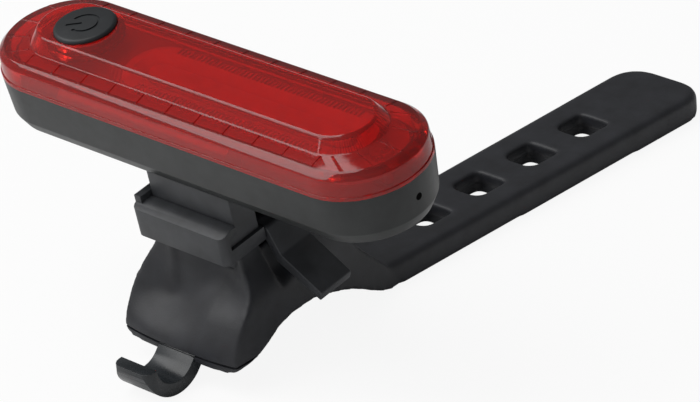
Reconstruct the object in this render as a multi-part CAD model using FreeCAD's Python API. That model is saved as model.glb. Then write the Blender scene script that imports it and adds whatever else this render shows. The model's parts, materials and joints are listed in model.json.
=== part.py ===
"""Rear bicycle light: sealed lamp on a slide bracket, held by a rubber strap with a hook.

Millimetres, +Z up. The strap lies along Y with its underside and its hook on Z = 0, and the
lamp lies along X, tilted back a little by the saddle pad under it. The pieces of the lamp,
its bracket and its latch are drawn in the lamp's own frame: origin at the middle of the joint
between lens and housing, +Z out through the lens. The strap and the hook are drawn in the
strap's frame, which stands on the table under the lamp's middle.
"""
import FreeCAD, Part
import math
import os

V = FreeCAD.Vector

# Overall sizes of the lamp
LIGHT_LENGTH = 85.0
LIGHT_WIDTH = 22.4
HOUSING_DEPTH = 8.7
HOUSING_WALL = 1.6
HOUSING_DRAFT = 0.5
CHAMFER_HEIGHT = 2.2
CHAMFER_INSET = 1.2

# Lens: a low side wall, a sloped ring round it and a raised island in the middle
FLANGE_HEIGHT = 0.6
FLANGE_STEP = 0.15
LENS_SIDE = 3.3
LENS_DRAFT = 0.35
RING_WIDTH = 3.65
RING_RISE = 1.55
ISLAND_RISE = 2.15
ISLAND_LEAN = 1.65
LENS_WALL = 1.3
SKIRT_WALL = 0.9
SKIRT_DEPTH = 1.3
RIB_COUNT = 10
RIB_PITCH = 5.9
RIB_END_COUNT = 4
RIB_WIDTH = 0.6
RIB_HEIGHT = 0.35
RIB_MARGIN = 0.55
RIB_END_ANGLE = 37.5

# Gasket in the housing's rim
GASKET_WIDTH = 0.7
GASKET_HEIGHT = 0.6

# Button, its switch and its place along the lamp
BUTTON_FROM_END = 16.7
BUTTON_DIAMETER = 10.2
BUTTON_PROUD = 0.75
BUTTON_EDGE = 0.55
BUTTON_WALL = 1.3
BUTTON_FLANGE = 1.0
BUTTON_FLANGE_HEIGHT = 0.7
BUTTON_TRAVEL = 0.6
BUTTON_STEM_DIAMETER = 2.4
SWITCH_SIDE = 4.5
SWITCH_HEIGHT = 1.5
PLUNGER_DIAMETER = 1.8
PLUNGER_HEIGHT = 0.8
PLUNGER_DEPTH = 0.8

# Light source
LED_BOARD_LIFT = 0.9
LED_BOARD_THICKNESS = 1.0
LED_BOARD_GAP = 1.0
LED_STRIP_WIDTH = 3.2
LED_STRIP_HEIGHT = 0.9
REFLECTOR_WIDTH = 11.2
REFLECTOR_HEIGHT = 1.4
REFLECTOR_RIM = 1.3
REFLECTOR_FLOOR = 0.5
REFLECTOR_GAP = 0.3
REFLECTOR_TO_BUTTON = 3.7
LED_STRIP_MARGIN = 4.0

# Battery, control board and charging socket
BATTERY_WIDTH = 15.0
BATTERY_THICKNESS = 5.0
BATTERY_GAP = 7.4
BATTERY_CORNER = 1.8
PAD_MARGIN = 1.5
LEAD_DIAMETER = 0.9
LEAD_REACH = 2.4
LEAD_SPACING = 3.4
CONTROL_BOARD_LENGTH = 19.0
CONTROL_BOARD_FROM_END = 11.1
CONTROL_BOARD_WIDTH = 13.0
CONTROL_BOARD_THICKNESS = 1.0
CONTROL_BOARD_DROP = 2.0
CONTROL_BOARD_GAP = 1.9
CONTROL_BOARD_CORNER = 1.0
CHIP_SIDE = 4.0
CHIP_HEIGHT = 0.9
CHIP_FROM_EDGE = 3.0
HEADER_LENGTH = 5.0
HEADER_WIDTH = 2.4
USB_FROM_END = 23.0
USB_WIDTH = 7.5
USB_HEIGHT = 2.6
USB_DEPTH = 5.2
USB_SHELL = 0.3
USB_CORNER = 0.8
USB_BACK = 1.2
USB_TONGUE_WIDTH = 4.0
USB_TONGUE_THICKNESS = 0.4
USB_TONGUE_DROP = 0.3
USB_TONGUE_SETBACK = 2.2
CHARGE_LED_SIDE = 1.6
CHARGE_LED_HEIGHT = 0.8
PIPE_DIAMETER = 1.2
PIPE_DROP = 3.4

# Rubber plug over the charging socket
PLUG_LENGTH = 12.0
PLUG_HEIGHT = 4.0
PLUG_THICKNESS = 1.1
PLUG_CORNER = 1.4
PLUG_TONGUE_WIDTH = 5.4
PLUG_TONGUE_HEIGHT = 1.5
PLUG_TONGUE_REACH = 1.6
PLUG_HINGE_GAP = 0.35
PLUG_HINGE_IN = 0.2
PLUG_HINGE_OUT = 0.15
PLUG_OPEN_ANGLE = 110.0

# Screws and the posts they go into
POST_DIAMETER = 4.4
POST_FROM_END = 6.4
SCREW_DIAMETER = 1.8
SCREW_HEAD_DIAMETER = 3.6
SCREW_HEAD_HEIGHT = 0.9
SCREW_DEPTH = 4.2
SHOE_SCREW_SPACING = 10.0
SHOE_SCREW_DEPTH = 4.6
SHOE_POST_HEIGHT = 1.2

# Slide shoe on the lamp's back
SHOE_LENGTH = 17.8
SHOE_STEM_WIDTH = 17.8
SHOE_DROP = 6.5
SHOE_FLANGE_WIDTH = 21.4
SHOE_FLANGE_THICKNESS = 1.9
SHOE_CHANNEL_WIDTH = 8.4
SHOE_CHANNEL_DEPTH = 5.6

# Bracket
BRACKET_LENGTH = 19.8
BRACKET_WIDTH = 24.8
BRACKET_LIP = 1.3
BRACKET_FLOOR = 2.3
BAR_CHAMFER_WIDTH = 2.0
BAR_CHAMFER_HEIGHT = 0.7
BAR_CORNER = 1.2
END_WALL = 1.4
END_WALL_RISE = 1.0
SLIDE_GAP = 0.1
FOOT_LENGTH = 14.4
FOOT_WIDTH = 17.2
FOOT_LEG = 4.0
FOOT_DROP = 2.4
FOOT_PLATE = 1.2

# Release latch: a tongue in the bracket's floor that ends in a thumb ramp
LATCH_WIDTH = 6.8
LATCH_THICKNESS = 1.3
LATCH_ROOT = 6.0
LATCH_GAP = 0.25
LATCH_EDGE_OUT = 0.1
LATCH_STEP_DOWN = 4.9
LATCH_STEP_OUT = 2.0
LATCH_RAMP_OUT = 7.4
LATCH_RAMP_DOWN = 4.8
LATCH_TIP_CUT = 0.65
LATCH_CATCH_RADIUS = 1.0
LATCH_CATCH_RISE = 0.5
LATCH_CATCH_SINK = 0.2
LATCH_CATCH_FROM_END = 2.0
LATCH_PRESS_ANGLE = 6.0

# How the lamp stands over the strap
TILT = 9.5
LAMP_HEIGHT = 41.8

# Saddle pad of the strap, as (height, front, half width, rear, half width at the rear)
PAD_STATIONS = (
    (0.0, -10.6, 11.4, 30.0, 7.6),
    (5.5, -12.0, 12.2, 27.0, 7.9),
    (11.5, -9.8, 11.7, 20.5, 8.2),
    (18.0, -6.6, 9.2, 16.5, 8.4),
    (28.0, -5.8, 8.6, 15.0, 8.4),
)
PAD_LEVELS = 7
PAD_FRONT_CORNER = 1.2
PAD_REAR_CORNER = 1.6
ARCH_RADIUS = 34.0
ARCH_RISE = 7.7
ARCH_MIDDLE = 4.3
ARCH_EASING = 12.0
ARCH_FRONT_ANGLE = 53.0

# Tail of the strap
TAIL_THICKNESS = 4.4
TAIL_WIDTH = 17.0
TAIL_ROOT_WIDTH = 15.0
TAIL_ROOT = 22.0
TAIL_END = 106.8
TAIL_CORNER = 5.0
TAIL_ROOT_CORNER = 1.4
TAIL_EDGE = 1.0
HOLE_COUNT = 4
HOLE_FIRST = 44.4
HOLE_PITCH = 13.1
HOLE_WIDTH = 6.6
HOLE_LENGTH = 6.8
HOLE_CORNER = 1.9
HOLE_FAR_CORNER = 0.6

# Hook at the pad's front edge
HOOK_WIDTH = 7.8
HOOK_THICKNESS = 2.2
HOOK_RADIUS = 5.1
HOOK_Y = -16.4
HOOK_LEAN = 40.0
HOOK_ANCHOR = 8.5
HOOK_TIP = 175.0

# Clearances
FIT = 0.1
FOAM_GAP = 0.1
CUT_PAST = 1.0

# Heights that follow from the sizes above, in the lamp's frame
LENS_RING_Z = LENS_SIDE + RING_RISE
LENS_TOP_Z = LENS_RING_Z + ISLAND_RISE
RING_INSET = LENS_DRAFT + RING_WIDTH
ISLAND_INSET = RING_INSET + ISLAND_LEAN
SKIRT_OUTER = HOUSING_WALL + FIT
SKIRT_INNER = SKIRT_OUTER + SKIRT_WALL
FLOOR_Z = HOUSING_WALL - HOUSING_DEPTH
LED_BOARD_TOP = LED_BOARD_LIFT + LED_BOARD_THICKNESS
SWITCH_TOP = LED_BOARD_TOP + SWITCH_HEIGHT
BUTTON_X = BUTTON_FROM_END - LIGHT_LENGTH / 2
BUTTON_FLANGE_TOP = SWITCH_TOP + PLUNGER_HEIGHT + BUTTON_FLANGE_HEIGHT
POST_X = LIGHT_LENGTH / 2 - POST_FROM_END
REFLECTOR_START = BUTTON_X + BUTTON_DIAMETER / 2 + BUTTON_FLANGE + REFLECTOR_TO_BUTTON
REFLECTOR_END = POST_X - SCREW_HEAD_DIAMETER / 2 - REFLECTOR_GAP
REFLECTOR_LENGTH = REFLECTOR_END - REFLECTOR_START
REFLECTOR_X = (REFLECTOR_START + REFLECTOR_END) / 2
LED_STRIP_LENGTH = REFLECTOR_LENGTH - 2 * LED_STRIP_MARGIN
SHOE_POST_Z = FLOOR_Z + SHOE_POST_HEIGHT
BATTERY_TOP = SHOE_POST_Z + FOAM_GAP + BATTERY_THICKNESS
CONTROL_BOARD_TOP = -CONTROL_BOARD_DROP
CONTROL_BOARD_BOTTOM = CONTROL_BOARD_TOP - CONTROL_BOARD_THICKNESS
CONTROL_BOARD_START = LIGHT_LENGTH / 2 - CONTROL_BOARD_FROM_END - CONTROL_BOARD_LENGTH
BATTERY_START = POST_DIAMETER / 2 - POST_X + BATTERY_GAP
BATTERY_LENGTH = CONTROL_BOARD_START - CONTROL_BOARD_GAP - BATTERY_START
BATTERY_X = BATTERY_START + BATTERY_LENGTH / 2
USB_X = LIGHT_LENGTH / 2 - USB_FROM_END
USB_TOP = CONTROL_BOARD_BOTTOM
USB_Z = USB_TOP - USB_HEIGHT / 2
SHOE_BOTTOM = -HOUSING_DEPTH - SHOE_DROP - SHOE_FLANGE_THICKNESS
BRACKET_TOP = SHOE_BOTTOM + SHOE_FLANGE_THICKNESS + SLIDE_GAP + BRACKET_LIP
SLOT_FLOOR = SHOE_BOTTOM - SLIDE_GAP
BRACKET_BOTTOM = SLOT_FLOOR - BRACKET_FLOOR
FOOT_BOTTOM = BRACKET_BOTTOM - FOOT_DROP - FOOT_PLATE
LATCH_TOP = SLOT_FLOOR - LATCH_GAP


def block(x0, x1, y0, y1, z0, z1):
    """Box between two corners."""
    return Part.makeBox(x1 - x0, y1 - y0, z1 - z0, V(x0, y0, z0))


def disc(radius, x, y, z0, z1):
    """Upright cylinder between two heights."""
    return Part.makeCylinder(radius, z1 - z0, V(x, y, z0))


def stadium_wire(length, width, z, x=0.0):
    """Outline with straight sides and two half-round ends."""
    r = width / 2
    h = length / 2 - r
    near = Part.LineSegment(V(x - h, -r, z), V(x + h, -r, z))
    right = Part.Arc(V(x + h, -r, z), V(x + h + r, 0, z), V(x + h, r, z))
    far = Part.LineSegment(V(x + h, r, z), V(x - h, r, z))
    left = Part.Arc(V(x - h, r, z), V(x - h - r, 0, z), V(x - h, -r, z))
    return Part.Wire([edge.toShape() for edge in (near, right, far, left)])


def stadium_layer(low, high, length=LIGHT_LENGTH, width=LIGHT_WIDTH):
    """Stadium between two levels, each an inset and a height: a middle and two round ends."""
    (inset0, z0), (inset1, z1) = low, high
    r0 = width / 2 - inset0
    r1 = width / 2 - inset1
    reach = (length - width) / 2
    layer = end_profile([(-r0, z0), (r0, z0), (r1, z1), (-r1, z1)], -reach, reach)
    for turn, x in ((-90, reach), (90, -reach)):
        if inset0 == inset1:
            end = Part.makeCylinder(r0, z1 - z0, V(0, 0, z0), V(0, 0, 1), 180)
        else:
            end = Part.makeCone(r0, r1, z1 - z0, V(0, 0, z0), V(0, 0, 1), 180)
        layer = layer.fuse(placed(end, turn, x))
    return layer


def stadium_stack(levels):
    """Solid through the lamp's outline, drawn in by each level's inset at its height."""
    rising = sorted(levels, key=lambda level: level[1])
    return fuse([stadium_layer(low, high) for low, high in zip(rising, rising[1:])])


def placed(shape, angle, x):
    """Copy turned about the upright axis and moved along X."""
    copy = shape.copy()
    copy.rotate(V(0, 0, 0), V(0, 0, 1), angle)
    copy.translate(V(x, 0, 0))
    return copy


def stadium_plate(length, width, z0, z1, x=0.0):
    """Flat plate with half-round ends."""
    return Part.Face(stadium_wire(length, width, z0, x)).extrude(V(0, 0, z1 - z0))


def rounded_wire(corners, radii, place):
    """Closed outline through flat corner points, each corner rounded by its radius."""
    count = len(corners)
    runs = []
    for i in range(count):
        before = corners[i - 1]
        here = corners[i]
        after = corners[(i + 1) % count]
        to_before = (before - here).normalize()
        to_after = (after - here).normalize()
        half = to_before.getAngle(to_after) / 2
        reach = radii[i] / math.tan(half)
        start = here + to_before * reach
        end = here + to_after * reach
        centre = here + (to_before + to_after).normalize() * (radii[i] / math.sin(half))
        middle = centre + (here - centre).normalize() * radii[i]
        runs.append((start, middle, end))
    edges = []
    for i in range(count):
        start, middle, end = runs[i]
        edges.append(Part.Arc(place(start), place(middle), place(end)).toShape())
        follow = runs[(i + 1) % count][0]
        edges.append(Part.LineSegment(place(end), place(follow)).toShape())
    return Part.Wire(edges)


def side_profile(points, width):
    """Solid from a closed outline in the XZ plane, centred across Y."""
    outline = Part.makePolygon([V(x, -width / 2, z) for x, z in points + [points[0]]])
    return Part.Face(outline).extrude(V(0, width, 0))


def end_profile(points, x0, x1):
    """Solid from a closed outline in the YZ plane, drawn along X."""
    outline = Part.makePolygon([V(x0, y, z) for y, z in points + [points[0]]])
    return Part.Face(outline).extrude(V(x1 - x0, 0, 0))


def round_edges(shape, radius, chosen):
    """Fillet the edges that the test picks."""
    edges = [edge for edge in shape.Edges if chosen(edge)]
    return shape.makeFillet(radius, edges)


def upright(edge):
    """True for a straight edge along Z."""
    a, b = edge.Vertexes[0].Point, edge.Vertexes[-1].Point
    return math.hypot(a.x - b.x, a.y - b.y) < 1e-6 < abs(a.z - b.z)


def fuse(shapes):
    """One solid from pieces that touch."""
    whole = shapes[0]
    for shape in shapes[1:]:
        whole = whole.fuse(shape)
    return whole.removeSplitter()


# Lamp: housing, lens and seal

def wall_inset(z):
    """Inset of the housing's leaning wall at a height below its rim."""
    return -z / (HOUSING_DEPTH - CHAMFER_HEIGHT) * HOUSING_DRAFT


def skirt_draft():
    """Lean of the lens's skirt, so that it keeps its clearance from the leaning wall."""
    return wall_inset(-SKIRT_DEPTH)


def housing():
    """Open tray with a drafted wall, a chamfered back, screw posts and the socket's window."""
    chamfer_z = CHAMFER_HEIGHT - HOUSING_DEPTH
    back_inset = HOUSING_DRAFT + CHAMFER_INSET
    outer = stadium_stack([(0, 0), (HOUSING_DRAFT, chamfer_z), (back_inset, -HOUSING_DEPTH)])
    inner = stadium_stack([(HOUSING_WALL, 0), (HOUSING_WALL + wall_inset(FLOOR_Z), FLOOR_Z)])
    tray = outer.cut(inner)
    tray = tray.cut(gasket_ring(GASKET_HEIGHT))
    posts = []
    for x in post_places():
        posts.append(disc(POST_DIAMETER / 2, x, 0, FLOOR_Z, LED_BOARD_LIFT))
    for x in shoe_screw_places():
        posts.append(disc(POST_DIAMETER / 2, x, 0, FLOOR_Z, SHOE_POST_Z))
    tray = fuse([tray] + posts)
    for screw in (board_screws(), shoe_screws()):
        tray = tray.cut(screw)
    tray = tray.cut(plug_plate(0.0, 0.0))
    tray = tray.cut(usb_window())
    return tray.cut(light_pipe_rod(LIGHT_LENGTH))


def gasket_ring(height):
    """Seal ring in the middle of the housing's rim."""
    outer_inset = (HOUSING_WALL - GASKET_WIDTH) / 2
    inner_inset = outer_inset + GASKET_WIDTH
    outer = stadium_stack([(outer_inset, -height), (outer_inset, 0)])
    return outer.cut(stadium_stack([(inner_inset, -height), (inner_inset, 0)]))


def lens_ribs():
    """Short ribs across the sloped ring, in two straight rows and round both ends."""
    slope = math.atan2(RING_RISE, RING_WIDTH)
    length = RING_WIDTH / math.cos(slope) - 2 * RIB_MARGIN
    rib = block(-length / 2, length / 2, -RIB_WIDTH / 2, RIB_WIDTH / 2, -RIB_HEIGHT, RIB_HEIGHT)
    rib.rotate(V(0, 0, 0), V(0, 1, 0), math.degrees(slope))
    radius = LIGHT_WIDTH / 2 - LENS_DRAFT - RING_WIDTH / 2
    rib.translate(V(radius, 0, LENS_SIDE + RING_RISE / 2))
    ribs = []
    centre = (LIGHT_LENGTH - LIGHT_WIDTH) / 2
    for side in (-90, 90):
        for i in range(RIB_COUNT):
            ribs.append(placed(rib, side, (i - (RIB_COUNT - 1) / 2) * RIB_PITCH))
    for end, x in ((0, centre), (180, -centre)):
        for i in range(RIB_END_COUNT):
            angle = (i - (RIB_END_COUNT - 1) / 2) * RIB_END_ANGLE
            ribs.append(placed(rib, end + angle, x))
    return ribs


def inner_corner(before, here, after, wall):
    """Point under a bent wall: the wall's thickness from both runs that meet at a corner."""
    normals = []
    for a, b in ((before, here), (here, after)):
        run = V(b[0] - a[0], b[1] - a[1], 0).normalize()
        normals.append(V(run.y, -run.x, 0))
    total = normals[0] + normals[1]
    step = total * (2 * wall / total.Length ** 2)
    return (here[0] + step.x, here[1] + step.y)


def lens():
    """Two-tier cover with ribs on its ring, a hollow inside and a hole for the button."""
    flange = stadium_stack([(0, 0), (0, FLANGE_HEIGHT)])
    foot, shoulder = (FLANGE_STEP, 0), (LENS_DRAFT, LENS_SIDE)
    ring, top = (RING_INSET, LENS_RING_Z), (ISLAND_INSET, LENS_TOP_Z)
    body = stadium_stack([foot, shoulder, ring, top])
    skirt = stadium_stack([(SKIRT_OUTER + skirt_draft(), -SKIRT_DEPTH), (SKIRT_OUTER, FLANGE_HEIGHT)])
    shell = fuse([body, flange, skirt] + lens_ribs())
    inner_ring = inner_corner(shoulder, ring, top, LENS_WALL)
    inner_top = inner_corner(ring, top, (LIGHT_WIDTH / 2, LENS_TOP_Z), LENS_WALL)
    shoulder_z = inner_ring[1] - (inner_ring[0] - SKIRT_INNER) * RING_RISE / RING_WIDTH
    hollow = stadium_stack([
        (SKIRT_INNER, -SKIRT_DEPTH),
        (SKIRT_INNER, shoulder_z),
        inner_ring,
        inner_top,
    ])
    shell = shell.cut(hollow)
    shell = shell.cut(disc(BUTTON_DIAMETER / 2 + FIT, BUTTON_X, 0, 0, LENS_TOP_Z + CUT_PAST))
    seat = BUTTON_DIAMETER / 2 + BUTTON_FLANGE + FIT
    return shell.cut(disc(seat, BUTTON_X, 0, 0, BUTTON_FLANGE_TOP + FIT))


# Lamp: button and switch

def button_cap():
    """Rubber cap: chamfered top, side through the lens, flange under it and a stem to the switch."""
    r = BUTTON_DIAMETER / 2
    flange_bottom = BUTTON_FLANGE_TOP - BUTTON_FLANGE_HEIGHT
    top = LENS_TOP_Z + BUTTON_PROUD
    cap = disc(r, 0, 0, flange_bottom, top)
    cap = cap.makeChamfer(BUTTON_EDGE, [edge for edge in cap.Edges if edge.BoundBox.ZMin > top - FIT])
    cap = cap.fuse(disc(r + BUTTON_FLANGE, 0, 0, flange_bottom, BUTTON_FLANGE_TOP))
    cap = cap.cut(disc(r - BUTTON_WALL, 0, 0, flange_bottom, top - BUTTON_WALL))
    cap = cap.fuse(disc(BUTTON_STEM_DIAMETER / 2, 0, 0, flange_bottom, top - BUTTON_WALL))
    cap.translate(V(BUTTON_X, 0, 0))
    return cap.removeSplitter()


def switch_body():
    """Square push switch on the light board, with a well for its plunger."""
    h = SWITCH_SIDE / 2
    body = block(BUTTON_X - h, BUTTON_X + h, -h, h, LED_BOARD_TOP, SWITCH_TOP)
    well = PLUNGER_DIAMETER / 2 + FIT
    return body.cut(disc(well, BUTTON_X, 0, SWITCH_TOP - PLUNGER_DEPTH - FIT, SWITCH_TOP))


def switch_plunger():
    """Plunger that the button's stem pushes down."""
    low = SWITCH_TOP - PLUNGER_DEPTH + BUTTON_TRAVEL
    return disc(PLUNGER_DIAMETER / 2, BUTTON_X, 0, low, SWITCH_TOP + PLUNGER_HEIGHT)


# Lamp: light source

def led_board():
    """White board under the lens, with its two screw holes."""
    inset = SKIRT_INNER + LED_BOARD_GAP
    board = stadium_stack([(inset, LED_BOARD_LIFT), (inset, LED_BOARD_TOP)])
    return board.cut(board_screws())


def led_strip():
    """Bar of light-emitting chips under one strip of clear gel."""
    top = LED_BOARD_TOP + LED_STRIP_HEIGHT
    return stadium_plate(LED_STRIP_LENGTH, LED_STRIP_WIDTH, LED_BOARD_TOP, top, REFLECTOR_X)


def reflector():
    """White frame round the strip, with walls that lean outwards."""
    top = LED_BOARD_TOP + REFLECTOR_HEIGHT
    frame = stadium_plate(REFLECTOR_LENGTH, REFLECTOR_WIDTH, LED_BOARD_TOP, top, REFLECTOR_X)
    floor_width = LED_STRIP_WIDTH + 2 * REFLECTOR_FLOOR
    lean = (REFLECTOR_WIDTH - floor_width) / 2 - REFLECTOR_RIM
    floor = (lean, LED_BOARD_TOP)
    length = REFLECTOR_LENGTH - 2 * REFLECTOR_RIM
    well = stadium_layer(floor, (0, top), length, REFLECTOR_WIDTH - 2 * REFLECTOR_RIM)
    return frame.cut(placed(well, 0, REFLECTOR_X)).removeSplitter()


# Lamp: battery and control board

def battery_cell():
    """Flat pouch cell with rounded long edges."""
    x0 = BATTERY_X - BATTERY_LENGTH / 2
    half = BATTERY_WIDTH / 2
    cell = block(x0, x0 + BATTERY_LENGTH, -half, half, BATTERY_TOP - BATTERY_THICKNESS, BATTERY_TOP)

    def lengthwise(edge):
        a, b = edge.Vertexes[0].Point, edge.Vertexes[-1].Point
        return abs(a.x - b.x) > BATTERY_LENGTH / 2

    return round_edges(cell, BATTERY_CORNER, lengthwise)


def battery_pad():
    """Foam between the cell and the light board."""
    half_length = BATTERY_LENGTH / 2 - PAD_MARGIN
    half_width = BATTERY_WIDTH / 2 - BATTERY_CORNER - PAD_MARGIN
    x0, x1 = BATTERY_X - half_length, BATTERY_X + half_length
    return block(x0, x1, -half_width, half_width, BATTERY_TOP, LED_BOARD_LIFT)


def battery_lead(side):
    """Insulated lead from the cell's end to its solder pad on the control board."""
    x0 = BATTERY_START + BATTERY_LENGTH
    x1 = CONTROL_BOARD_START + LEAD_REACH
    radius = LEAD_DIAMETER / 2
    start = V(x0, side * LEAD_SPACING / 2, CONTROL_BOARD_TOP + radius)
    return Part.makeCylinder(radius, x1 - x0, start, V(1, 0, 0))


def control_board():
    """Charging and control board over the socket, with its chip side up."""
    half = CONTROL_BOARD_WIDTH / 2
    x1 = CONTROL_BOARD_START + CONTROL_BOARD_LENGTH
    board = block(CONTROL_BOARD_START, x1, -half, half, CONTROL_BOARD_BOTTOM, CONTROL_BOARD_TOP)
    return round_edges(board, CONTROL_BOARD_CORNER, upright)


def controller_chip():
    """Square chip on the control board."""
    x0 = CONTROL_BOARD_START + CHIP_FROM_EDGE
    half = CHIP_SIDE / 2
    return block(x0, x0 + CHIP_SIDE, -half, half, CONTROL_BOARD_TOP, CONTROL_BOARD_TOP + CHIP_HEIGHT)


def board_header():
    """Pin header that joins the control board to the light board."""
    x0 = CONTROL_BOARD_START + CONTROL_BOARD_LENGTH / 2
    half = HEADER_LENGTH / 2
    return block(x0, x0 + HEADER_WIDTH, -half, half, CONTROL_BOARD_TOP, LED_BOARD_LIFT)


def usb_face():
    """Depth across Y of the socket's mouth: just behind the plug's plate."""
    return LIGHT_WIDTH / 2 - wall_inset(USB_Z) - PLUG_THICKNESS


def usb_connector():
    """Charging socket: a metal shell open towards the housing's far side."""
    y1 = usb_face()
    half = USB_WIDTH / 2
    shell = block(USB_X - half, USB_X + half, y1 - USB_DEPTH, y1, USB_TOP - USB_HEIGHT, USB_TOP)

    def along(edge):
        a, b = edge.Vertexes[0].Point, edge.Vertexes[-1].Point
        return abs(a.y - b.y) > USB_DEPTH / 2 and a.z < USB_Z

    shell = round_edges(shell, USB_CORNER, along)
    mouth = half - USB_SHELL
    low = USB_TOP - USB_HEIGHT + USB_SHELL
    back = y1 - USB_DEPTH + USB_BACK
    room = block(USB_X - mouth, USB_X + mouth, back, y1, low, USB_TOP - USB_SHELL)
    high = USB_TOP - USB_SHELL - USB_TONGUE_DROP
    reach = USB_TONGUE_WIDTH / 2
    front = y1 - USB_TONGUE_SETBACK
    tongue = block(USB_X - reach, USB_X + reach, back - USB_SHELL, front, high - USB_TONGUE_THICKNESS, high)
    return fuse([shell.cut(room), tongue])


def usb_window():
    """Hole in the housing's wall round the socket."""
    y1 = usb_face()
    half = USB_WIDTH / 2 + FIT
    low = USB_TOP - USB_HEIGHT - FIT
    return block(USB_X - half, USB_X + half, y1 - USB_DEPTH, y1 + CUT_PAST, low, USB_TOP + FIT)


def charge_led():
    """Small indicator chip at the control board's end."""
    x1 = CONTROL_BOARD_START + CONTROL_BOARD_LENGTH
    half = CHARGE_LED_SIDE / 2
    low = CONTROL_BOARD_BOTTOM - CHARGE_LED_HEIGHT
    return block(x1 - CHARGE_LED_SIDE, x1, -half, half, low, CONTROL_BOARD_BOTTOM)


def light_pipe_rod(end):
    """Rod from the indicator chip out through the housing's end."""
    x0 = CONTROL_BOARD_START + CONTROL_BOARD_LENGTH
    z = -PIPE_DROP
    return Part.makeCylinder(PIPE_DIAMETER / 2, end - x0, V(x0, 0, z), V(1, 0, 0))


def charge_light_pipe():
    """Clear rod, flush with the housing's wall."""
    return light_pipe_rod(LIGHT_LENGTH / 2 - wall_inset(-PIPE_DROP))


# Lamp: rubber plug over the socket

def plug_plate(gap, hinge_gap):
    """Plate of the plug, or the recess for it, set into the housing's far wall."""
    x0 = USB_X - PLUG_LENGTH / 2 + hinge_gap
    x1 = USB_X + PLUG_LENGTH / 2 - gap
    z0 = USB_Z - PLUG_HEIGHT / 2 + gap
    z1 = USB_Z + PLUG_HEIGHT / 2 - gap
    plate = block(x0, x1, usb_face() + gap, LIGHT_WIDTH / 2 + CUT_PAST, z0, z1)

    def across(edge):
        a, b = edge.Vertexes[0].Point, edge.Vertexes[-1].Point
        return abs(a.y - b.y) > PLUG_THICKNESS / 2

    return round_edges(plate, PLUG_CORNER - gap, across)


def usb_plug():
    """Rubber plug: a plate that follows the wall, and a tongue for the socket."""
    envelope = stadium_stack([(0, 0), (HOUSING_DRAFT, CHAMFER_HEIGHT - HOUSING_DEPTH)])
    plate = plug_plate(FIT, PLUG_HINGE_GAP).common(envelope)
    half = PLUG_TONGUE_WIDTH / 2
    low = USB_Z - PLUG_TONGUE_HEIGHT / 2
    y1 = usb_face()
    high = low + PLUG_TONGUE_HEIGHT
    tongue = block(USB_X - half, USB_X + half, y1 - PLUG_TONGUE_REACH, y1 + 2 * FIT, low, high)
    return fuse([plate, tongue])


# Screws

def screw(x, z_head, depth, up):
    """Small screw on the upright axis at X, with its head at a height, going up or down."""
    step = 1 if up else -1
    z0, z1 = sorted((z_head, z_head - step * SCREW_HEAD_HEIGHT))
    head = disc(SCREW_HEAD_DIAMETER / 2, x, 0, z0, z1)
    z0, z1 = sorted((z_head, z_head + step * depth))
    return head.fuse(disc(SCREW_DIAMETER / 2, x, 0, z0, z1)).removeSplitter()


def post_places():
    """X of the two posts under the light board."""
    return (-POST_X, POST_X)


def board_screws():
    """Two screws that hold the light board on its posts."""
    return Part.makeCompound([screw(x, LED_BOARD_TOP, SCREW_DEPTH, False) for x in post_places()])


def shoe_screw_places():
    """X of the two screws of the slide shoe."""
    return (-SHOE_SCREW_SPACING / 2, SHOE_SCREW_SPACING / 2)


def shoe_screws():
    """Two screws through the shoe's channel into the housing."""
    z = SHOE_BOTTOM + SHOE_CHANNEL_DEPTH
    return Part.makeCompound([screw(x, z, SHOE_SCREW_DEPTH, True) for x in shoe_screw_places()])


# Slide shoe, bracket and latch

def shoe():
    """Block with side flanges that slide in the bracket, and a channel over the latch."""
    x0 = END_WALL - BRACKET_LENGTH / 2 + SLIDE_GAP
    x1 = x0 + SHOE_LENGTH
    stem = SHOE_STEM_WIDTH / 2
    flange = SHOE_FLANGE_WIDTH / 2
    flange_top = SHOE_BOTTOM + SHOE_FLANGE_THICKNESS
    body = block(x0, x1, -stem, stem, SHOE_BOTTOM, -HOUSING_DEPTH)
    body = body.fuse(block(x0, x1, -flange, flange, SHOE_BOTTOM, flange_top))
    channel = SHOE_CHANNEL_WIDTH / 2
    body = body.cut(block(x0, x1, -channel, channel, SHOE_BOTTOM, SHOE_BOTTOM + SHOE_CHANNEL_DEPTH))
    return body.cut(shoe_screws()).removeSplitter()


def foot(gap=0.0):
    """Two legs and a plate under the bracket, which the rubber pad grips."""
    x = FOOT_LENGTH / 2 + gap
    y = FOOT_WIDTH / 2 + gap
    leg_bottom = BRACKET_BOTTOM - FOOT_DROP
    legs = [
        block(-x, x, -y, -y + FOOT_LEG, leg_bottom, BRACKET_BOTTOM),
        block(-x, x, y - FOOT_LEG, y, leg_bottom, BRACKET_BOTTOM),
    ]
    return fuse(legs + [block(-x, x, -y, y, FOOT_BOTTOM, leg_bottom)])


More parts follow.
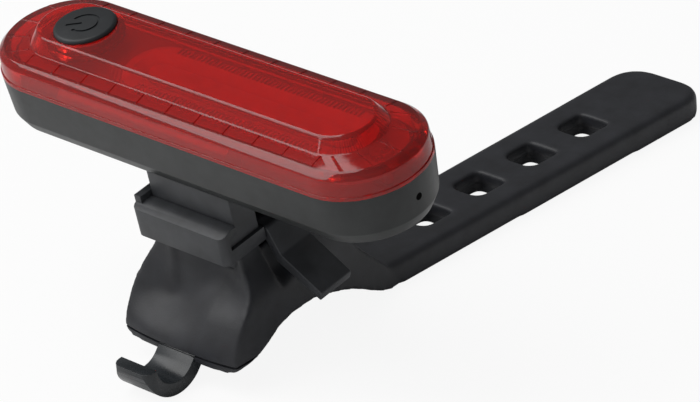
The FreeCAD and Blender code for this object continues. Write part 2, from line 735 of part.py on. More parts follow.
def bracket():
    """Slide channel with a front and a rear bar, an end wall and a slot for the latch."""
    x = BRACKET_LENGTH / 2
    y = BRACKET_WIDTH / 2
    shoulder = BRACKET_TOP - BAR_CHAMFER_HEIGHT
    inner = y - BAR_CHAMFER_WIDTH
    outline = [
        (-y, BRACKET_BOTTOM), (y, BRACKET_BOTTOM), (y, shoulder),
        (inner, BRACKET_TOP), (-inner, BRACKET_TOP), (-y, shoulder),
    ]
    body = end_profile(outline, -x, x)
    corners = [V(-x, -y, 0), V(x, -y, 0), V(x, y, 0), V(-x, y, 0)]
    plan = rounded_wire(corners, [BAR_CORNER] * 4, lambda p: V(p.x, p.y, BRACKET_BOTTOM))
    body = body.common(Part.Face(plan).extrude(V(0, 0, BRACKET_TOP - BRACKET_BOTTOM)))
    lip = SHOE_STEM_WIDTH / 2 + SLIDE_GAP
    slot = SHOE_FLANGE_WIDTH / 2 + SLIDE_GAP
    slot_top = BRACKET_TOP - BRACKET_LIP
    body = body.cut(block(END_WALL - x, x, -lip, lip, SLOT_FLOOR, BRACKET_TOP))
    body = body.cut(block(END_WALL - x, x, -slot, slot, SLOT_FLOOR, slot_top))
    wall_y = y - BAR_CORNER
    wall = block(-x, END_WALL - x, -wall_y, wall_y, SLOT_FLOOR, BRACKET_TOP + END_WALL_RISE)
    half = LATCH_WIDTH / 2 + LATCH_GAP
    tongue_slot = block(-LATCH_ROOT, x, -half, half, BRACKET_BOTTOM, SLOT_FLOOR)
    body = fuse([body, wall]).cut(tongue_slot)
    return fuse([body, foot()])


def release_latch():
    """Springy tongue with a rounded catch on top and a ramp for the thumb at its end."""
    root = LATCH_GAP - LATCH_ROOT
    edge = BRACKET_LENGTH / 2 + LATCH_EDGE_OUT
    low = LATCH_TOP - LATCH_THICKNESS
    ramp_x = edge + LATCH_STEP_OUT
    ramp_z = low - LATCH_STEP_DOWN
    tip_x = ramp_x + LATCH_RAMP_OUT
    tip_z = ramp_z - LATCH_RAMP_DOWN
    t = LATCH_THICKNESS
    rise = t / math.cos(math.atan2(LATCH_RAMP_DOWN, LATCH_RAMP_OUT))
    outline = [
        (root, low), (edge - t, low), (ramp_x - t, ramp_z), (tip_x - LATCH_TIP_CUT, tip_z),
        (tip_x, tip_z + rise), (ramp_x, ramp_z + rise), (edge, LATCH_TOP), (root, LATCH_TOP),
    ]
    tongue = side_profile(outline, LATCH_WIDTH)
    r = LATCH_CATCH_RADIUS
    x = BRACKET_LENGTH / 2 - LATCH_CATCH_FROM_END
    half = LATCH_WIDTH / 2
    middle = LATCH_TOP + LATCH_CATCH_RISE - r
    catch = Part.makeCylinder(r, LATCH_WIDTH, V(x, -half, middle), V(0, 1, 0))
    over = block(x - r, x + r, -half, half, LATCH_TOP - LATCH_CATCH_SINK, LATCH_TOP + r)
    return fuse([tongue, catch.common(over)])


# Strap and hook, in the strap's frame

def pad_edge(value, half_width):
    """Smooth curve over the height through one side of the pad's stations."""
    curve = Part.BSplineCurve()
    points = [V(station[value], station[half_width], station[0]) for station in PAD_STATIONS]
    curve.interpolate(Points=points, Parameters=[station[0] for station in PAD_STATIONS])
    return curve


def pad_block():
    """Saddle pad: sections that flare from the bracket's foot down to the front edge."""
    front_edge = pad_edge(1, 2)
    rear_edge = pad_edge(3, 4)
    top = PAD_STATIONS[-1][0]
    wires = []
    for level in range(PAD_LEVELS + 1):
        z = top * level / PAD_LEVELS
        front = front_edge.value(z)
        rear = rear_edge.value(z)
        corners = [
            V(-front.y, front.x, 0), V(front.y, front.x, 0),
            V(rear.y, rear.x, 0), V(-rear.y, rear.x, 0),
        ]
        radii = [PAD_FRONT_CORNER, PAD_FRONT_CORNER, PAD_REAR_CORNER, PAD_REAR_CORNER]
        wires.append(rounded_wire(corners, radii, lambda p, z=z: V(p.x, p.y, z)))
    return Part.makeLoft(wires, True, True)


def arch_cutter():
    """Space of the post under the pad: a wide arc eased into the tail's flat underside."""
    centre_z = ARCH_RISE - ARCH_RADIUS
    span = ARCH_RADIUS + ARCH_EASING
    ease_y = ARCH_MIDDLE + math.sqrt(span ** 2 - (ARCH_EASING - centre_z) ** 2)
    share = ARCH_RADIUS / span
    touch_y = ARCH_MIDDLE + (ease_y - ARCH_MIDDLE) * share
    touch_z = centre_z + (ARCH_EASING - centre_z) * share
    front = math.radians(ARCH_FRONT_ANGLE)
    start_y = ARCH_MIDDLE - ARCH_RADIUS * math.sin(front)
    start = V(0, start_y, centre_z + ARCH_RADIUS * math.cos(front))
    touch = V(0, touch_y, touch_z)
    crown = V(0, ARCH_MIDDLE, ARCH_RISE)
    end = V(0, ease_y, 0)
    half_turn = math.atan2(ease_y - touch_y, ARCH_EASING - touch_z) / 2
    ease_mid = V(0, ease_y - ARCH_EASING * math.sin(half_turn),
                 ARCH_EASING - ARCH_EASING * math.cos(half_turn))
    below = -ARCH_RADIUS
    edges = [
        Part.Arc(start, crown, touch).toShape(),
        Part.Arc(touch, ease_mid, end).toShape(),
        Part.LineSegment(end, V(0, ease_y, below)).toShape(),
        Part.LineSegment(V(0, ease_y, below), V(0, start_y, below)).toShape(),
        Part.LineSegment(V(0, start_y, below), start).toShape(),
    ]
    cutter = Part.Face(Part.Wire(edges)).extrude(V(2 * TAIL_WIDTH, 0, 0))
    cutter.translate(V(-TAIL_WIDTH, 0, 0))
    return cutter


def tail():
    """Flat tail with a rounded end, chamfered upper edges and a row of holes."""
    half = TAIL_WIDTH / 2
    root = TAIL_ROOT_WIDTH / 2
    corners = [V(-root, TAIL_ROOT, 0), V(root, TAIL_ROOT, 0), V(half, TAIL_END, 0), V(-half, TAIL_END, 0)]
    radii = [TAIL_ROOT_CORNER, TAIL_ROOT_CORNER, TAIL_CORNER, TAIL_CORNER]
    plate = Part.Face(rounded_wire(corners, radii, lambda p: p)).extrude(V(0, 0, TAIL_THICKNESS))
    upper = [edge for edge in plate.Edges if edge.BoundBox.ZMin > TAIL_THICKNESS - FIT]
    plate = plate.makeChamfer(TAIL_EDGE, upper)
    for y in hole_places():
        plate = plate.cut(tail_hole(y))
    return plate


def hole_places():
    """Y of each hole in the tail."""
    return [HOLE_FIRST + i * HOLE_PITCH for i in range(HOLE_COUNT)]


def tail_hole(y):
    """Rounded square hole, more rounded on the side that the hook pulls on."""
    x = HOLE_WIDTH / 2
    near, far = y - HOLE_LENGTH / 2, y + HOLE_LENGTH / 2
    low = -CUT_PAST
    corners = [V(-x, near, low), V(x, near, low), V(x, far, low), V(-x, far, low)]
    radii = [HOLE_CORNER, HOLE_CORNER, HOLE_FAR_CORNER, HOLE_FAR_CORNER]
    face = Part.Face(rounded_wire(corners, radii, lambda p: p))
    return face.extrude(V(0, 0, TAIL_THICKNESS + 2 * CUT_PAST))


def strap():
    """Rubber strap: saddle pad and tail in one moulding, with pockets for foot and hook."""
    reach = LIGHT_LENGTH
    body = fuse([pad_block(), tail()]).cut(arch_cutter())
    above = block(-reach, reach, -reach, reach, BRACKET_BOTTOM, reach)
    half = LATCH_WIDTH / 2 + LATCH_GAP * 2
    swing = math.tan(math.radians(LATCH_PRESS_ANGLE)) * (BRACKET_LENGTH / 2 + LATCH_ROOT)
    channel_bottom = LATCH_TOP - LATCH_THICKNESS - swing - LATCH_GAP
    channel = block(-LATCH_ROOT, reach, -half, half, channel_bottom, BRACKET_BOTTOM)
    for cutter in (above, channel, foot()):
        body = body.cut(on_strap(cutter))
    return body.cut(hook())


def hook():
    """J-shaped hook bent from one strip, with an anchor that the pad is moulded round."""
    inner = HOOK_RADIUS - HOOK_THICKNESS / 2
    outer = HOOK_RADIUS + HOOK_THICKNESS / 2
    centre = V(0, HOOK_Y, outer)

    def at(radius, degrees):
        angle = math.radians(degrees)
        return centre + V(0, radius * math.cos(angle), radius * math.sin(angle))

    lean = math.radians(HOOK_LEAN)
    along = V(0, math.sin(lean), math.cos(lean)) * HOOK_ANCHOR
    middle = -(HOOK_LEAN + HOOK_TIP) / 2
    o0, o1, o2 = at(outer, -HOOK_LEAN), at(outer, middle), at(outer, -HOOK_TIP)
    i0, i1, i2 = at(inner, -HOOK_LEAN), at(inner, middle), at(inner, -HOOK_TIP)
    edges = [
        Part.LineSegment(o0 + along, o0).toShape(),
        Part.Arc(o0, o1, o2).toShape(),
        Part.LineSegment(o2, i2).toShape(),
        Part.Arc(i2, i1, i0).toShape(),
        Part.LineSegment(i0, i0 + along).toShape(),
        Part.LineSegment(i0 + along, o0 + along).toShape(),
    ]
    strip = Part.Face(Part.Wire(edges)).extrude(V(HOOK_WIDTH, 0, 0))
    strip.translate(V(-HOOK_WIDTH / 2, 0, 0))
    return strip


# Placing and writing

def on_strap(shape):
    """Copy of a piece from the lamp's frame, placed in the strap's frame."""
    copy = shape.copy()
    copy.rotate(V(0, 0, 0), V(1, 0, 0), TILT)
    copy.translate(V(0, 0, LAMP_HEIGHT))
    return copy


def pieces():
    """Every sub-part by name, in the strap's frame."""
    lamp = {
        "housing": housing(),
        "lens": lens(),
        "lens_gasket": gasket_ring(GASKET_HEIGHT),
        "led_board": led_board(),
        "led_strip": led_strip(),
        "reflector": reflector(),
        "switch_body": switch_body(),
        "switch_plunger": switch_plunger(),
        "button_cap": button_cap(),
        "battery_cell": battery_cell(),
        "battery_pad": battery_pad(),
        "battery_lead_red": battery_lead(1),
        "battery_lead_black": battery_lead(-1),
        "control_board": control_board(),
        "controller_chip": controller_chip(),
        "board_header": board_header(),
        "usb_connector": usb_connector(),
        "usb_plug": usb_plug(),
        "charge_led": charge_led(),
        "charge_light_pipe": charge_light_pipe(),
        "board_screws": board_screws(),
        "shoe": shoe(),
        "shoe_screws": shoe_screws(),
        "bracket": bracket(),
        "release_latch": release_latch(),
    }
    parts = {name: on_strap(shape) for name, shape in lamp.items()}
    parts["strap"] = strap()
    parts["hook"] = hook()
    return parts


def rest_shift(parts):
    """Move that puts the origin under the middle of the whole part's box."""
    box = FreeCAD.BoundBox()
    for shape in parts.values():
        box.add(shape.optimalBoundingBox(False))
    return V(-box.Center.x, -box.Center.y, -box.ZMin)


def joint_places(shift):
    """Where each moving piece turns or slides, in metres on the finished part."""
    latch_z = LATCH_TOP - LATCH_THICKNESS / 2
    plug_x = USB_X - PLUG_LENGTH / 2 + PLUG_HINGE_IN
    plug_y = LIGHT_WIDTH / 2 - wall_inset(USB_Z) + PLUG_HINGE_OUT
    points = {
        "button_press": (V(BUTTON_X, 0, LENS_TOP_Z), V(0, 0, -1)),
        "light_slide": (V(0, 0, SHOE_BOTTOM), V(1, 0, 0)),
        "latch_press": (V(LATCH_GAP - LATCH_ROOT, 0, latch_z), V(0, 1, 0)),
        "plug_open": (V(plug_x, plug_y, USB_Z), V(0, 0, 1)),
    }
    turn = FreeCAD.Rotation(V(1, 0, 0), TILT)
    places = {}
    for name, (point, axis) in points.items():
        place = turn.multVec(point) + V(0, 0, LAMP_HEIGHT) + shift
        places[name] = ([v / 1000 for v in place], list(turn.multVec(axis)))
    return places


def main():
    os.makedirs("parts", exist_ok=True)
    parts = pieces()
    shift = rest_shift(parts)
    for name, shape in parts.items():
        shape.translate(shift)
        shape.exportStep(f"parts/{name}.step")
        print(name, "solids", len(shape.Solids), "valid", shape.isValid(), "volume", round(shape.Volume, 1))
    for name, (place, axis) in joint_places(shift).items():
        print(name, "at", [round(v, 5) for v in place], "along", [round(v, 5) for v in axis])


if __name__ == "__main__":
    main()
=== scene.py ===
# %% [markdown]
# # A rear bicycle light
#
# This lesson dresses a small rechargeable bicycle light. The engineering model gives every piece
# its real size and place, and this script adds the looks: rounded edges, a clear red lens, soft
# rubber, and the fine grain of moulded plastic. Each step first says what the piece is on the real
# light and how it can be made, and then makes it.

# %% Load the engineering model as a fixed frame
import json
import math

import bmesh
import bpy
from mathutils import Matrix, Vector
from mathutils.geometry import interpolate_bezier


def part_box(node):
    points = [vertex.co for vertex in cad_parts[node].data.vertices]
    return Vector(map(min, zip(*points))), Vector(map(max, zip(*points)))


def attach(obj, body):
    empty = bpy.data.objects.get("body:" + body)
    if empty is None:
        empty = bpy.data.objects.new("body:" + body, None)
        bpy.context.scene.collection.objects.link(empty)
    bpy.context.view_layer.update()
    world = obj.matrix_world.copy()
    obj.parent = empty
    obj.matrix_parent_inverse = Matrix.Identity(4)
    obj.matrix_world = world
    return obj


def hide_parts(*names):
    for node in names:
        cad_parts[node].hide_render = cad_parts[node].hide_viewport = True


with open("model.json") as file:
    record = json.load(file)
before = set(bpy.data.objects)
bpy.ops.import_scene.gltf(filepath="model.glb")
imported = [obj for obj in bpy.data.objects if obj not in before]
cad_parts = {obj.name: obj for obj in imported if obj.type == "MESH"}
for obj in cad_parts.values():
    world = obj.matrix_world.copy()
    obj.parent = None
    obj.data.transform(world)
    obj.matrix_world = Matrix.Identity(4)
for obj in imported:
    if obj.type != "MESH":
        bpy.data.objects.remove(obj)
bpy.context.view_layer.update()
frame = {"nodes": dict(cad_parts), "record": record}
nodes = frame["nodes"]
print("pieces in the frame:", len(nodes))

# %% [markdown]
# ## Two drawing frames
#
# The lamp leans forward by about ten degrees on its rubber pad. It is far easier to draw its pieces
# upright, in millimetres, about the middle of the joint between lens and housing, and to lean them
# all at the end with one matrix. The strap and its hook are drawn flat on the table, also in
# millimetres. The strap's far end is read from the frame, so both matrices follow the model.

# %% Frames of the lamp and of the strap
MM = 0.001
TILT = math.radians(9.5)
LAMP_HEIGHT = 41.8
TAIL_END = 106.8

strap_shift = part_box("strap")[1].y / MM - TAIL_END
STRAP_FRAME = Matrix.Scale(MM, 4) @ Matrix.Translation((0, strap_shift, 0))
LAMP_FRAME = STRAP_FRAME @ Matrix.Translation((0, 0, LAMP_HEIGHT)) @ Matrix.Rotation(TILT, 4, "X")
print("strap frame starts at y =", round(strap_shift, 2), "mm")

# %% [markdown]
# ## Camera
#
# The photograph was taken with a long lens from the front right, a little above. A camera is set
# by its place, here in the strap's frame, and three turns: round the upright axis, down towards the
# object, and a slight roll.

# %% Camera
CAMERA_PLACE = (450.5, -414.9, 334.2)
CAMERA_AZIMUTH = math.radians(45.50)
CAMERA_ELEVATION = math.radians(26.91)
CAMERA_ROLL = math.radians(-4.78)
CAMERA_LENS = 228.6

camera = bpy.data.objects.new("Camera", bpy.data.cameras.new("Camera"))
bpy.context.scene.collection.objects.link(camera)
camera.matrix_world = (
    Matrix.Translation(STRAP_FRAME @ Vector(CAMERA_PLACE))
    @ Matrix.Rotation(CAMERA_AZIMUTH, 4, "Z")
    @ Matrix.Rotation(math.pi / 2 - CAMERA_ELEVATION, 4, "X")
    @ Matrix.Rotation(CAMERA_ROLL, 4, "Z")
)
camera.data.lens = CAMERA_LENS
camera.data.clip_start = 0.05
bpy.context.scene.camera = camera
print("camera lens:", camera.data.lens, "mm")

# %% [markdown]
# ## Helpers for finishes
#
# Every finish starts from the Principled shader. Real mouldings are never one flat colour: their
# tone drifts a little over the surface, and a fine grain breaks up the reflections. Both come from
# Noise textures on Object coordinates, which stay fixed to the piece when it moves. A value that is
# the same all over is set on the shader's own socket.

# %% Finish helpers
TONE_ENDS = (0.3, 0.7)
TONE_SCALE = 250
GLOSS_SCALE = 700
GLOSS_SPREAD = (-0.05, 0.06)


def new_finish(name, colour, roughness):
    """Material with a Principled shader, its node tree and the shader."""
    material = bpy.data.materials.new(name)
    material.use_nodes = True
    shader = material.node_tree.nodes["Principled BSDF"]
    shader.inputs["Base Color"].default_value = (*colour, 1)
    shader.inputs["Roughness"].default_value = roughness
    return material, material.node_tree, shader


def noise(tree, scale, detail=2.0):
    """Noise texture on Object coordinates; a scale of 1000 gives features of about 1 mm."""
    place = tree.nodes.new("ShaderNodeTexCoord")
    texture = tree.nodes.new("ShaderNodeTexNoise")
    texture.inputs["Scale"].default_value = scale
    texture.inputs["Detail"].default_value = detail
    tree.links.new(place.outputs["Object"], texture.inputs["Vector"])
    return texture.outputs["Fac"]


def two_tone(tree, shader, factor, dark, light):
    """Base colour that drifts between two tones with a factor."""
    ramp = tree.nodes.new("ShaderNodeValToRGB")
    for element, end, tone in zip(ramp.color_ramp.elements, TONE_ENDS, (dark, light)):
        element.position = end
        element.color = (*tone, 1)
    tree.links.new(factor, ramp.inputs["Fac"])
    tree.links.new(ramp.outputs["Color"], shader.inputs["Base Color"])


def level_along(tree, coordinate, direction):
    """How far a coordinate lies along a direction."""
    place = tree.nodes.new("ShaderNodeTexCoord")
    dot = tree.nodes.new("ShaderNodeVectorMath")
    dot.operation = "DOT_PRODUCT"
    dot.inputs[1].default_value = direction
    tree.links.new(place.outputs[coordinate], dot.inputs[0])
    return dot.outputs["Value"]


def ranged(tree, value, ends, new_ends):
    """Value carried over from one range to another and held at its ends."""
    reach = tree.nodes.new("ShaderNodeMapRange")
    for socket, number in zip(("From Min", "From Max", "To Min", "To Max"), (*ends, *new_ends)):
        reach.inputs[socket].default_value = number
    tree.links.new(value, reach.inputs["Value"])
    return reach.outputs["Result"]


def grain(tree, shader, height, depth, strength=1.0):
    """Relief from a height signal, its depth given in metres."""
    bump = tree.nodes.new("ShaderNodeBump")
    bump.inputs["Strength"].default_value = strength
    bump.inputs["Distance"].default_value = depth
    tree.links.new(height, bump.inputs["Height"])
    tree.links.new(bump.outputs["Normal"], shader.inputs["Normal"])


def moulded(name, colour, roughness, grain_scale=6000, depth=0.00001, drift=0.25, ior=1.46):
    """Moulded plastic or rubber: drifting tone, uneven gloss and a fine grain."""
    material, tree, shader = new_finish(name, colour, roughness)
    dark = [c * (1 - drift) for c in colour]
    light = [c * (1 + drift) for c in colour]
    two_tone(tree, shader, noise(tree, TONE_SCALE, 4.0), dark, light)
    gloss = ranged(tree, noise(tree, GLOSS_SCALE, 3.0), (0, 1), [roughness + step for step in GLOSS_SPREAD])
    tree.links.new(gloss, shader.inputs["Roughness"])
    grain(tree, shader, noise(tree, grain_scale, 1.0), depth)
    shader.inputs["IOR"].default_value = ior
    return material


print("finish helpers ready")

# %% [markdown]
# ## Finishes of the plain pieces
#
# The black parts differ a little: the bracket is the palest and the hook the glossiest, and the
# strap and the plug are the dullest. The indicator's clear pipe lets light in and hardly any comes
# back, so from outside it is a nearly black dot; its finish is painted nearly black, a painted shade
# for the dark inside of the pipe.

# %% Finishes
FINISHES = {
    "housing_plastic": moulded("housing_plastic", (0.016, 0.018, 0.018), 0.40, 5000, 0.000006),
    "bracket_plastic": moulded("bracket_plastic", (0.034, 0.036, 0.040), 0.42, 5000, 0.000010),
    "strap_rubber": moulded("strap_rubber", (0.018, 0.019, 0.023), 0.50, 4000, 0.000014),
    "button_rubber": moulded("button_rubber", (0.013, 0.015, 0.017), 0.46, 7000, 0.000008),
    "plug_rubber": moulded("plug_rubber", (0.022, 0.024, 0.025), 0.50, 5000, 0.000010),
    "hook_plastic": moulded("hook_plastic", (0.018, 0.021, 0.024), 0.26, 4000, 0.000004),
    "seal_rubber": moulded("seal_rubber", (0.02, 0.02, 0.02), 0.6),
    "board_white": moulded("board_white", (0.42, 0.42, 0.41), 0.35, drift=0.04),
    "reflector_white": moulded("reflector_white", (0.74, 0.74, 0.73), 0.3, drift=0.03),
    "led_gel": moulded("led_gel", (0.75, 0.62, 0.25), 0.15, drift=0.08),
    "switch_plastic": moulded("switch_plastic", (0.06, 0.06, 0.065), 0.4),
    "battery_foil": moulded("battery_foil", (0.62, 0.64, 0.66), 0.3, 900, 0.00005, drift=0.05),
    "foam": moulded("foam", (0.05, 0.05, 0.055), 0.9, 2500, 0.0001),
    "lead_red": moulded("lead_red", (0.5, 0.02, 0.015), 0.4, drift=0.1),
    "lead_black": moulded("lead_black", (0.015, 0.015, 0.015), 0.4),
    "board_green": moulded("board_green", (0.02, 0.16, 0.06), 0.3, drift=0.1),
    "chip_black": moulded("chip_black", (0.02, 0.02, 0.022), 0.5),
    "usb_steel": moulded("usb_steel", (0.65, 0.65, 0.66), 0.25, drift=0.04),
    # Painted shade: the clear pipe gets a nearly black colour for the dark inside that shows through it
    "clear_pipe": moulded("clear_pipe", (0.005, 0.005, 0.005), 0.85, drift=0.05, ior=1.05),
    "screw_steel": moulded("screw_steel", (0.6, 0.6, 0.62), 0.28, drift=0.05),
}
for metal in ("battery_foil", "usb_steel", "screw_steel"):
    FINISHES[metal].node_tree.nodes["Principled BSDF"].inputs["Metallic"].default_value = 1.0
print("finishes:", len(FINISHES))

# %% [markdown]
# ## The lens's finish
#
# The lens is clear red plastic. Its colour belongs in the shader's base colour with a high
# transmission: light is tinted on its way in and again on its way out, so the red deepens by itself
# where the wall is seen edge-on. The side wall looks brighter and less clear than the top, so its
# transmission is lower up to where the sloped ring begins; one plain value is kept on the socket as
# well, for a viewer that takes only one. The surface is polished, and the only relief is a faint
# ripple.

# %% Lens finish
LENS_COLOUR = (0.92, 0.020, 0.012)
LENS_ROUGHNESS = 0.05
LENS_IOR = 1.49
LENS_CLEARNESS = 0.87
HAZE_HEIGHTS = (0.0028, 0.0036)
HAZE_CLEARNESS = (0.76, 0.88)
RIPPLE_SCALE = 400
RIPPLE_DEPTH = 0.00001
RIPPLE_STRENGTH = 0.4

lens_red, tree, shader = new_finish("lens_red", LENS_COLOUR, LENS_ROUGHNESS)
shader.inputs["Transmission Weight"].default_value = LENS_CLEARNESS
shader.inputs["IOR"].default_value = LENS_IOR
grain(tree, shader, noise(tree, RIPPLE_SCALE, 1.0), RIPPLE_DEPTH, RIPPLE_STRENGTH)
up = (LAMP_FRAME.to_3x3() @ Vector((0, 0, 1))).normalized()
joint_level = LAMP_FRAME.translation.dot(up)
haze_ends = [joint_level + height for height in HAZE_HEIGHTS]
clearness = ranged(tree, level_along(tree, "Object", up), haze_ends, HAZE_CLEARNESS)
tree.links.new(clearness, shader.inputs["Transmission Weight"])
FINISHES["lens_red"] = lens_red
print("lens finish ready")

# %% Give each carried-over piece its finish
for part in frame["record"]["subparts"]:
    piece = nodes[part["node"]]
    piece.data.materials.clear()
    piece.data.materials.append(FINISHES[part["material_slot"]])

# %% [markdown]
# ## Modelling helpers
#
# Most of the light is drawn as outlines: a stadium (two straight sides and two half-round ends)
# that is drawn in from level to level, or a flat outline pulled out into a solid. Blender's mesh
# operators do both. Solids are then joined or cut with the Boolean modifier, as a toolmaker would
# cut a mould, and a narrow Bevel rounds the edges, because no moulded edge is ever sharp.

# %% Rounded profiles
ARC_STEPS = 4


def rounded(corners):
    """Outline of (u, v, radius) corners, with an arc of points wherever a radius is given."""
    points = []
    for i, (u, v, radius) in enumerate(corners):
        here = Vector((u, v))
        if radius == 0:
            points.append(here)
            continue
        to_before = (Vector(corners[i - 1][:2]) - here).normalized()
        to_after = (Vector(corners[(i + 1) % len(corners)][:2]) - here).normalized()
        half = to_before.angle(to_after) / 2
        centre = here + (to_before + to_after).normalized() * (radius / math.sin(half))
        first = here + to_before * (radius / math.tan(half)) - centre
        last = here + to_after * (radius / math.tan(half)) - centre
        for step in range(ARC_STEPS + 1):
            points.append(centre + first.slerp(last, step / ARC_STEPS) * radius)
    return points


print("a corner becomes", len(rounded([(0, 0, 0), (1, 0, 0.2), (1, 1, 0)])) - 2, "points")

# %% Stadium walls and prisms
LIGHT_LENGTH = 85.0
LIGHT_WIDTH = 22.4
REACH = (LIGHT_LENGTH - LIGHT_WIDTH) / 2
STADIUM_STEPS = 96


def verts_of(made):
    """New vertices in what a mesh operator gives back."""
    return [item for item in made["geom"] if isinstance(item, bmesh.types.BMVert)]


def stadium_ring(bm, inset, height, pull=0.0):
    """Ring of edges along the lamp's outline, drawn in by an inset, and its ends further by a pull."""
    radius = (LIGHT_WIDTH / 2 - inset) / math.cos(math.pi / STADIUM_STEPS)
    place = Matrix.Translation((0, 0, height)) @ Matrix.Rotation(math.pi / STADIUM_STEPS, 4, "Z")
    verts = bmesh.ops.create_circle(bm, segments=STADIUM_STEPS, radius=radius, matrix=place)["verts"]
    for side in (-1, 1):
        half = [vert for vert in verts if vert.co.x * side > 0]
        bmesh.ops.translate(bm, verts=half, vec=(side * (REACH - pull), 0, 0))
    return list({edge for vert in verts for edge in vert.link_edges})


def no_pull(inset):
    """Ends that stay where the outline has them."""
    return 0.0


def stadium_wall(bm, levels, pull_at=no_pull):
    """Wall through the lamp's outline at each (inset, height); returns its rings of edges."""
    rings = [stadium_ring(bm, *levels[0], pull_at(levels[0][0]))]
    for (inset, height), (next_inset, next_height) in zip(levels, levels[1:]):
        verts = verts_of(bmesh.ops.extrude_edge_only(bm, edges=rings[-1]))
        share = (LIGHT_WIDTH / 2 - next_inset) / (LIGHT_WIDTH / 2 - inset)
        for side in (-1, 1):
            half = [vert for vert in verts if vert.co.x * side > 0]
            about = Matrix.Translation((-side * (REACH - pull_at(inset)), 0, 0))
            bmesh.ops.scale(bm, verts=half, vec=(share, share, 1), space=about)
            bmesh.ops.translate(bm, verts=half, vec=(side * (pull_at(inset) - pull_at(next_inset)), 0, 0))
        bmesh.ops.translate(bm, verts=verts, vec=(0, 0, next_height - height))
        fresh = set(verts)
        rings.append([e for e in {e for v in verts for e in v.link_edges} if fresh.issuperset(e.verts)])
    return rings


def prism(outline, axis, low, high):
    """Solid from an outline in the plane across an axis, drawn out from low to high."""
    bm = bmesh.new()
    along = "XYZ".index(axis)
    corners = []
    for u, v in outline:
        place = [u, v]
        place.insert(along, low)
        corners.append(bm.verts.new(place))
    made = bmesh.ops.extrude_face_region(bm, geom=[bm.faces.new(corners)])
    step = Vector((0, 0, 0))
    step[along] = high - low
    bmesh.ops.translate(bm, verts=verts_of(made), vec=step)
    return bm


def slab(low, high):
    """Box between two corners."""
    outline = [(low[0], low[1]), (high[0], low[1]), (high[0], high[1]), (low[0], high[1])]
    return prism(outline, "Z", low[2], high[2])


def turned(profile, steps, centre=(0, 0, 0)):
    """Solid turned about the upright axis through a centre, from (radius, height) points."""
    bm = bmesh.new()
    verts = [bm.verts.new((centre[0] + r, centre[1], centre[2] + z)) for r, z in profile]
    edges = [bm.edges.new(pair) for pair in zip(verts, verts[1:])]
    bmesh.ops.spin(bm, geom=verts + edges, cent=centre, axis=(0, 0, 1), angle=math.tau,
                   steps=steps, use_merge=True)
    return bm


print("modelling helpers ready")

# %% Joining, cutting and finishing
MERGE = 1e-4
BEVEL_ANGLE = math.radians(40)


def to_mesh(bm):
    """Mesh of a finished bmesh, its doubles merged and its faces pointing outwards."""
    bmesh.ops.remove_doubles(bm, verts=bm.verts, dist=MERGE)
    bmesh.ops.recalc_face_normals(bm, faces=bm.faces)
    mesh = bpy.data.meshes.new("mesh")
    bm.to_mesh(mesh)
    bm.free()
    return mesh


def baked(mesh, *settings):
    """Mesh after modifiers, each given as its kind and a dictionary of its values."""
    holder = bpy.data.objects.new("holder", mesh)
    bpy.context.scene.collection.objects.link(holder)
    for kind, values in settings:
        modifier = holder.modifiers.new(kind, kind)
        for key, value in values.items():
            setattr(modifier, key, value)
    shaped = holder.evaluated_get(bpy.context.evaluated_depsgraph_get())
    result = bpy.data.meshes.new_from_object(shaped)
    bpy.data.objects.remove(holder)
    return result


def carved(mesh, operation, *tools):
    """Mesh after each tool, a mesh or a bmesh, is cut from it, joined to it or kept in common."""
    for tool in tools:
        shape = tool if isinstance(tool, bpy.types.Mesh) else to_mesh(tool)
        helper = bpy.data.objects.new("tool", shape)
        bpy.context.scene.collection.objects.link(helper)
        mesh = baked(mesh, ("BOOLEAN", {"object": helper, "operation": operation, "solver": "EXACT"}))
        bpy.data.objects.remove(helper)
    return mesh


def place_piece(name, mesh, matrix, body, slot, *replaced, edge=0.0, smooth=35):
    """Object from a millimetre mesh: placed, rounded, shaded, dressed and tied to its body."""
    if edge:
        values = {"width": edge, "segments": 3, "limit_method": "ANGLE", "angle_limit": BEVEL_ANGLE,
                  "harden_normals": False, "use_clamp_overlap": True}
        mesh = baked(mesh, ("BEVEL", values))
    mesh.transform(matrix)
    mesh.name = name
    mesh.shade_smooth()
    mesh.set_sharp_from_angle(angle=math.radians(smooth))
    mesh.materials.clear()
    mesh.materials.append(FINISHES[slot])
    piece = bpy.data.objects.new(name, mesh)
    bpy.context.scene.collection.objects.link(piece)
    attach(piece, body)
    if replaced:
        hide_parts(*replaced)
    bm = bmesh.new()
    bm.from_mesh(mesh)
    open_edges = sum(not e.is_manifold for e in bm.edges)
    bm.free()
    print(f"{name}: {len(mesh.polygons)} faces, {open_edges} open edges")
    return piece


print("finishing helpers ready")

# %% [markdown]
# ## Lens
#
# The lens is one clear red moulding of even wall: a side, a sloped ring and a raised island, with a
# skirt that enters the housing. Its section is drawn once, outside from the island's top down to
# the flange and then inside back up, and pulled through the stadium outline ring by ring. The small
# ribs on the ring are faces of the slope that are inset and lifted. The island is a little shorter
# than the ring round it, so its ends are pulled in. Fine flutes run up its wall on the inside,
# where they scatter the light of the chips.

# %% Sizes of the lens
FLANGE_HEIGHT = 0.6
FLANGE_STEP = 0.18
FLANGE_EDGE = 0.12
LENS_SIDE = 3.3
LENS_DRAFT = 0.35
BEND_INSET = 1.35
BEND_Z = 4.2
RING_INSET = 4.0
RING_Z = 4.85
ISLAND_INSET = 5.65
TOP_Z = 7.0
END_PULL = 2.4
LENS_WALL = 1.3
SKIRT_OUTER = 1.7
SKIRT_INNER = 2.6
SKIRT_DEPTH = 1.3
SKIRT_LEAN = 0.1
RIB_MARGIN = 0.3
RIB_WIDTH = 0.55
RIB_HEIGHT = 0.13
RIB_COUNT = 11
RIB_PITCH = 6.17
RIB_END_TURNS = (-60, -30, 0, 30, 60)
RIB_END_REACH = 75
RIB_EDGE = 0.08
FLUTE_PITCH = 0.9
FLUTE_DEPTH = 0.08
FLUTE_EDGE = 0.08
FLUTE_MARGIN = 0.1
FLUTE_FACING = (-0.95, -0.1)
BUTTON_X = -25.8
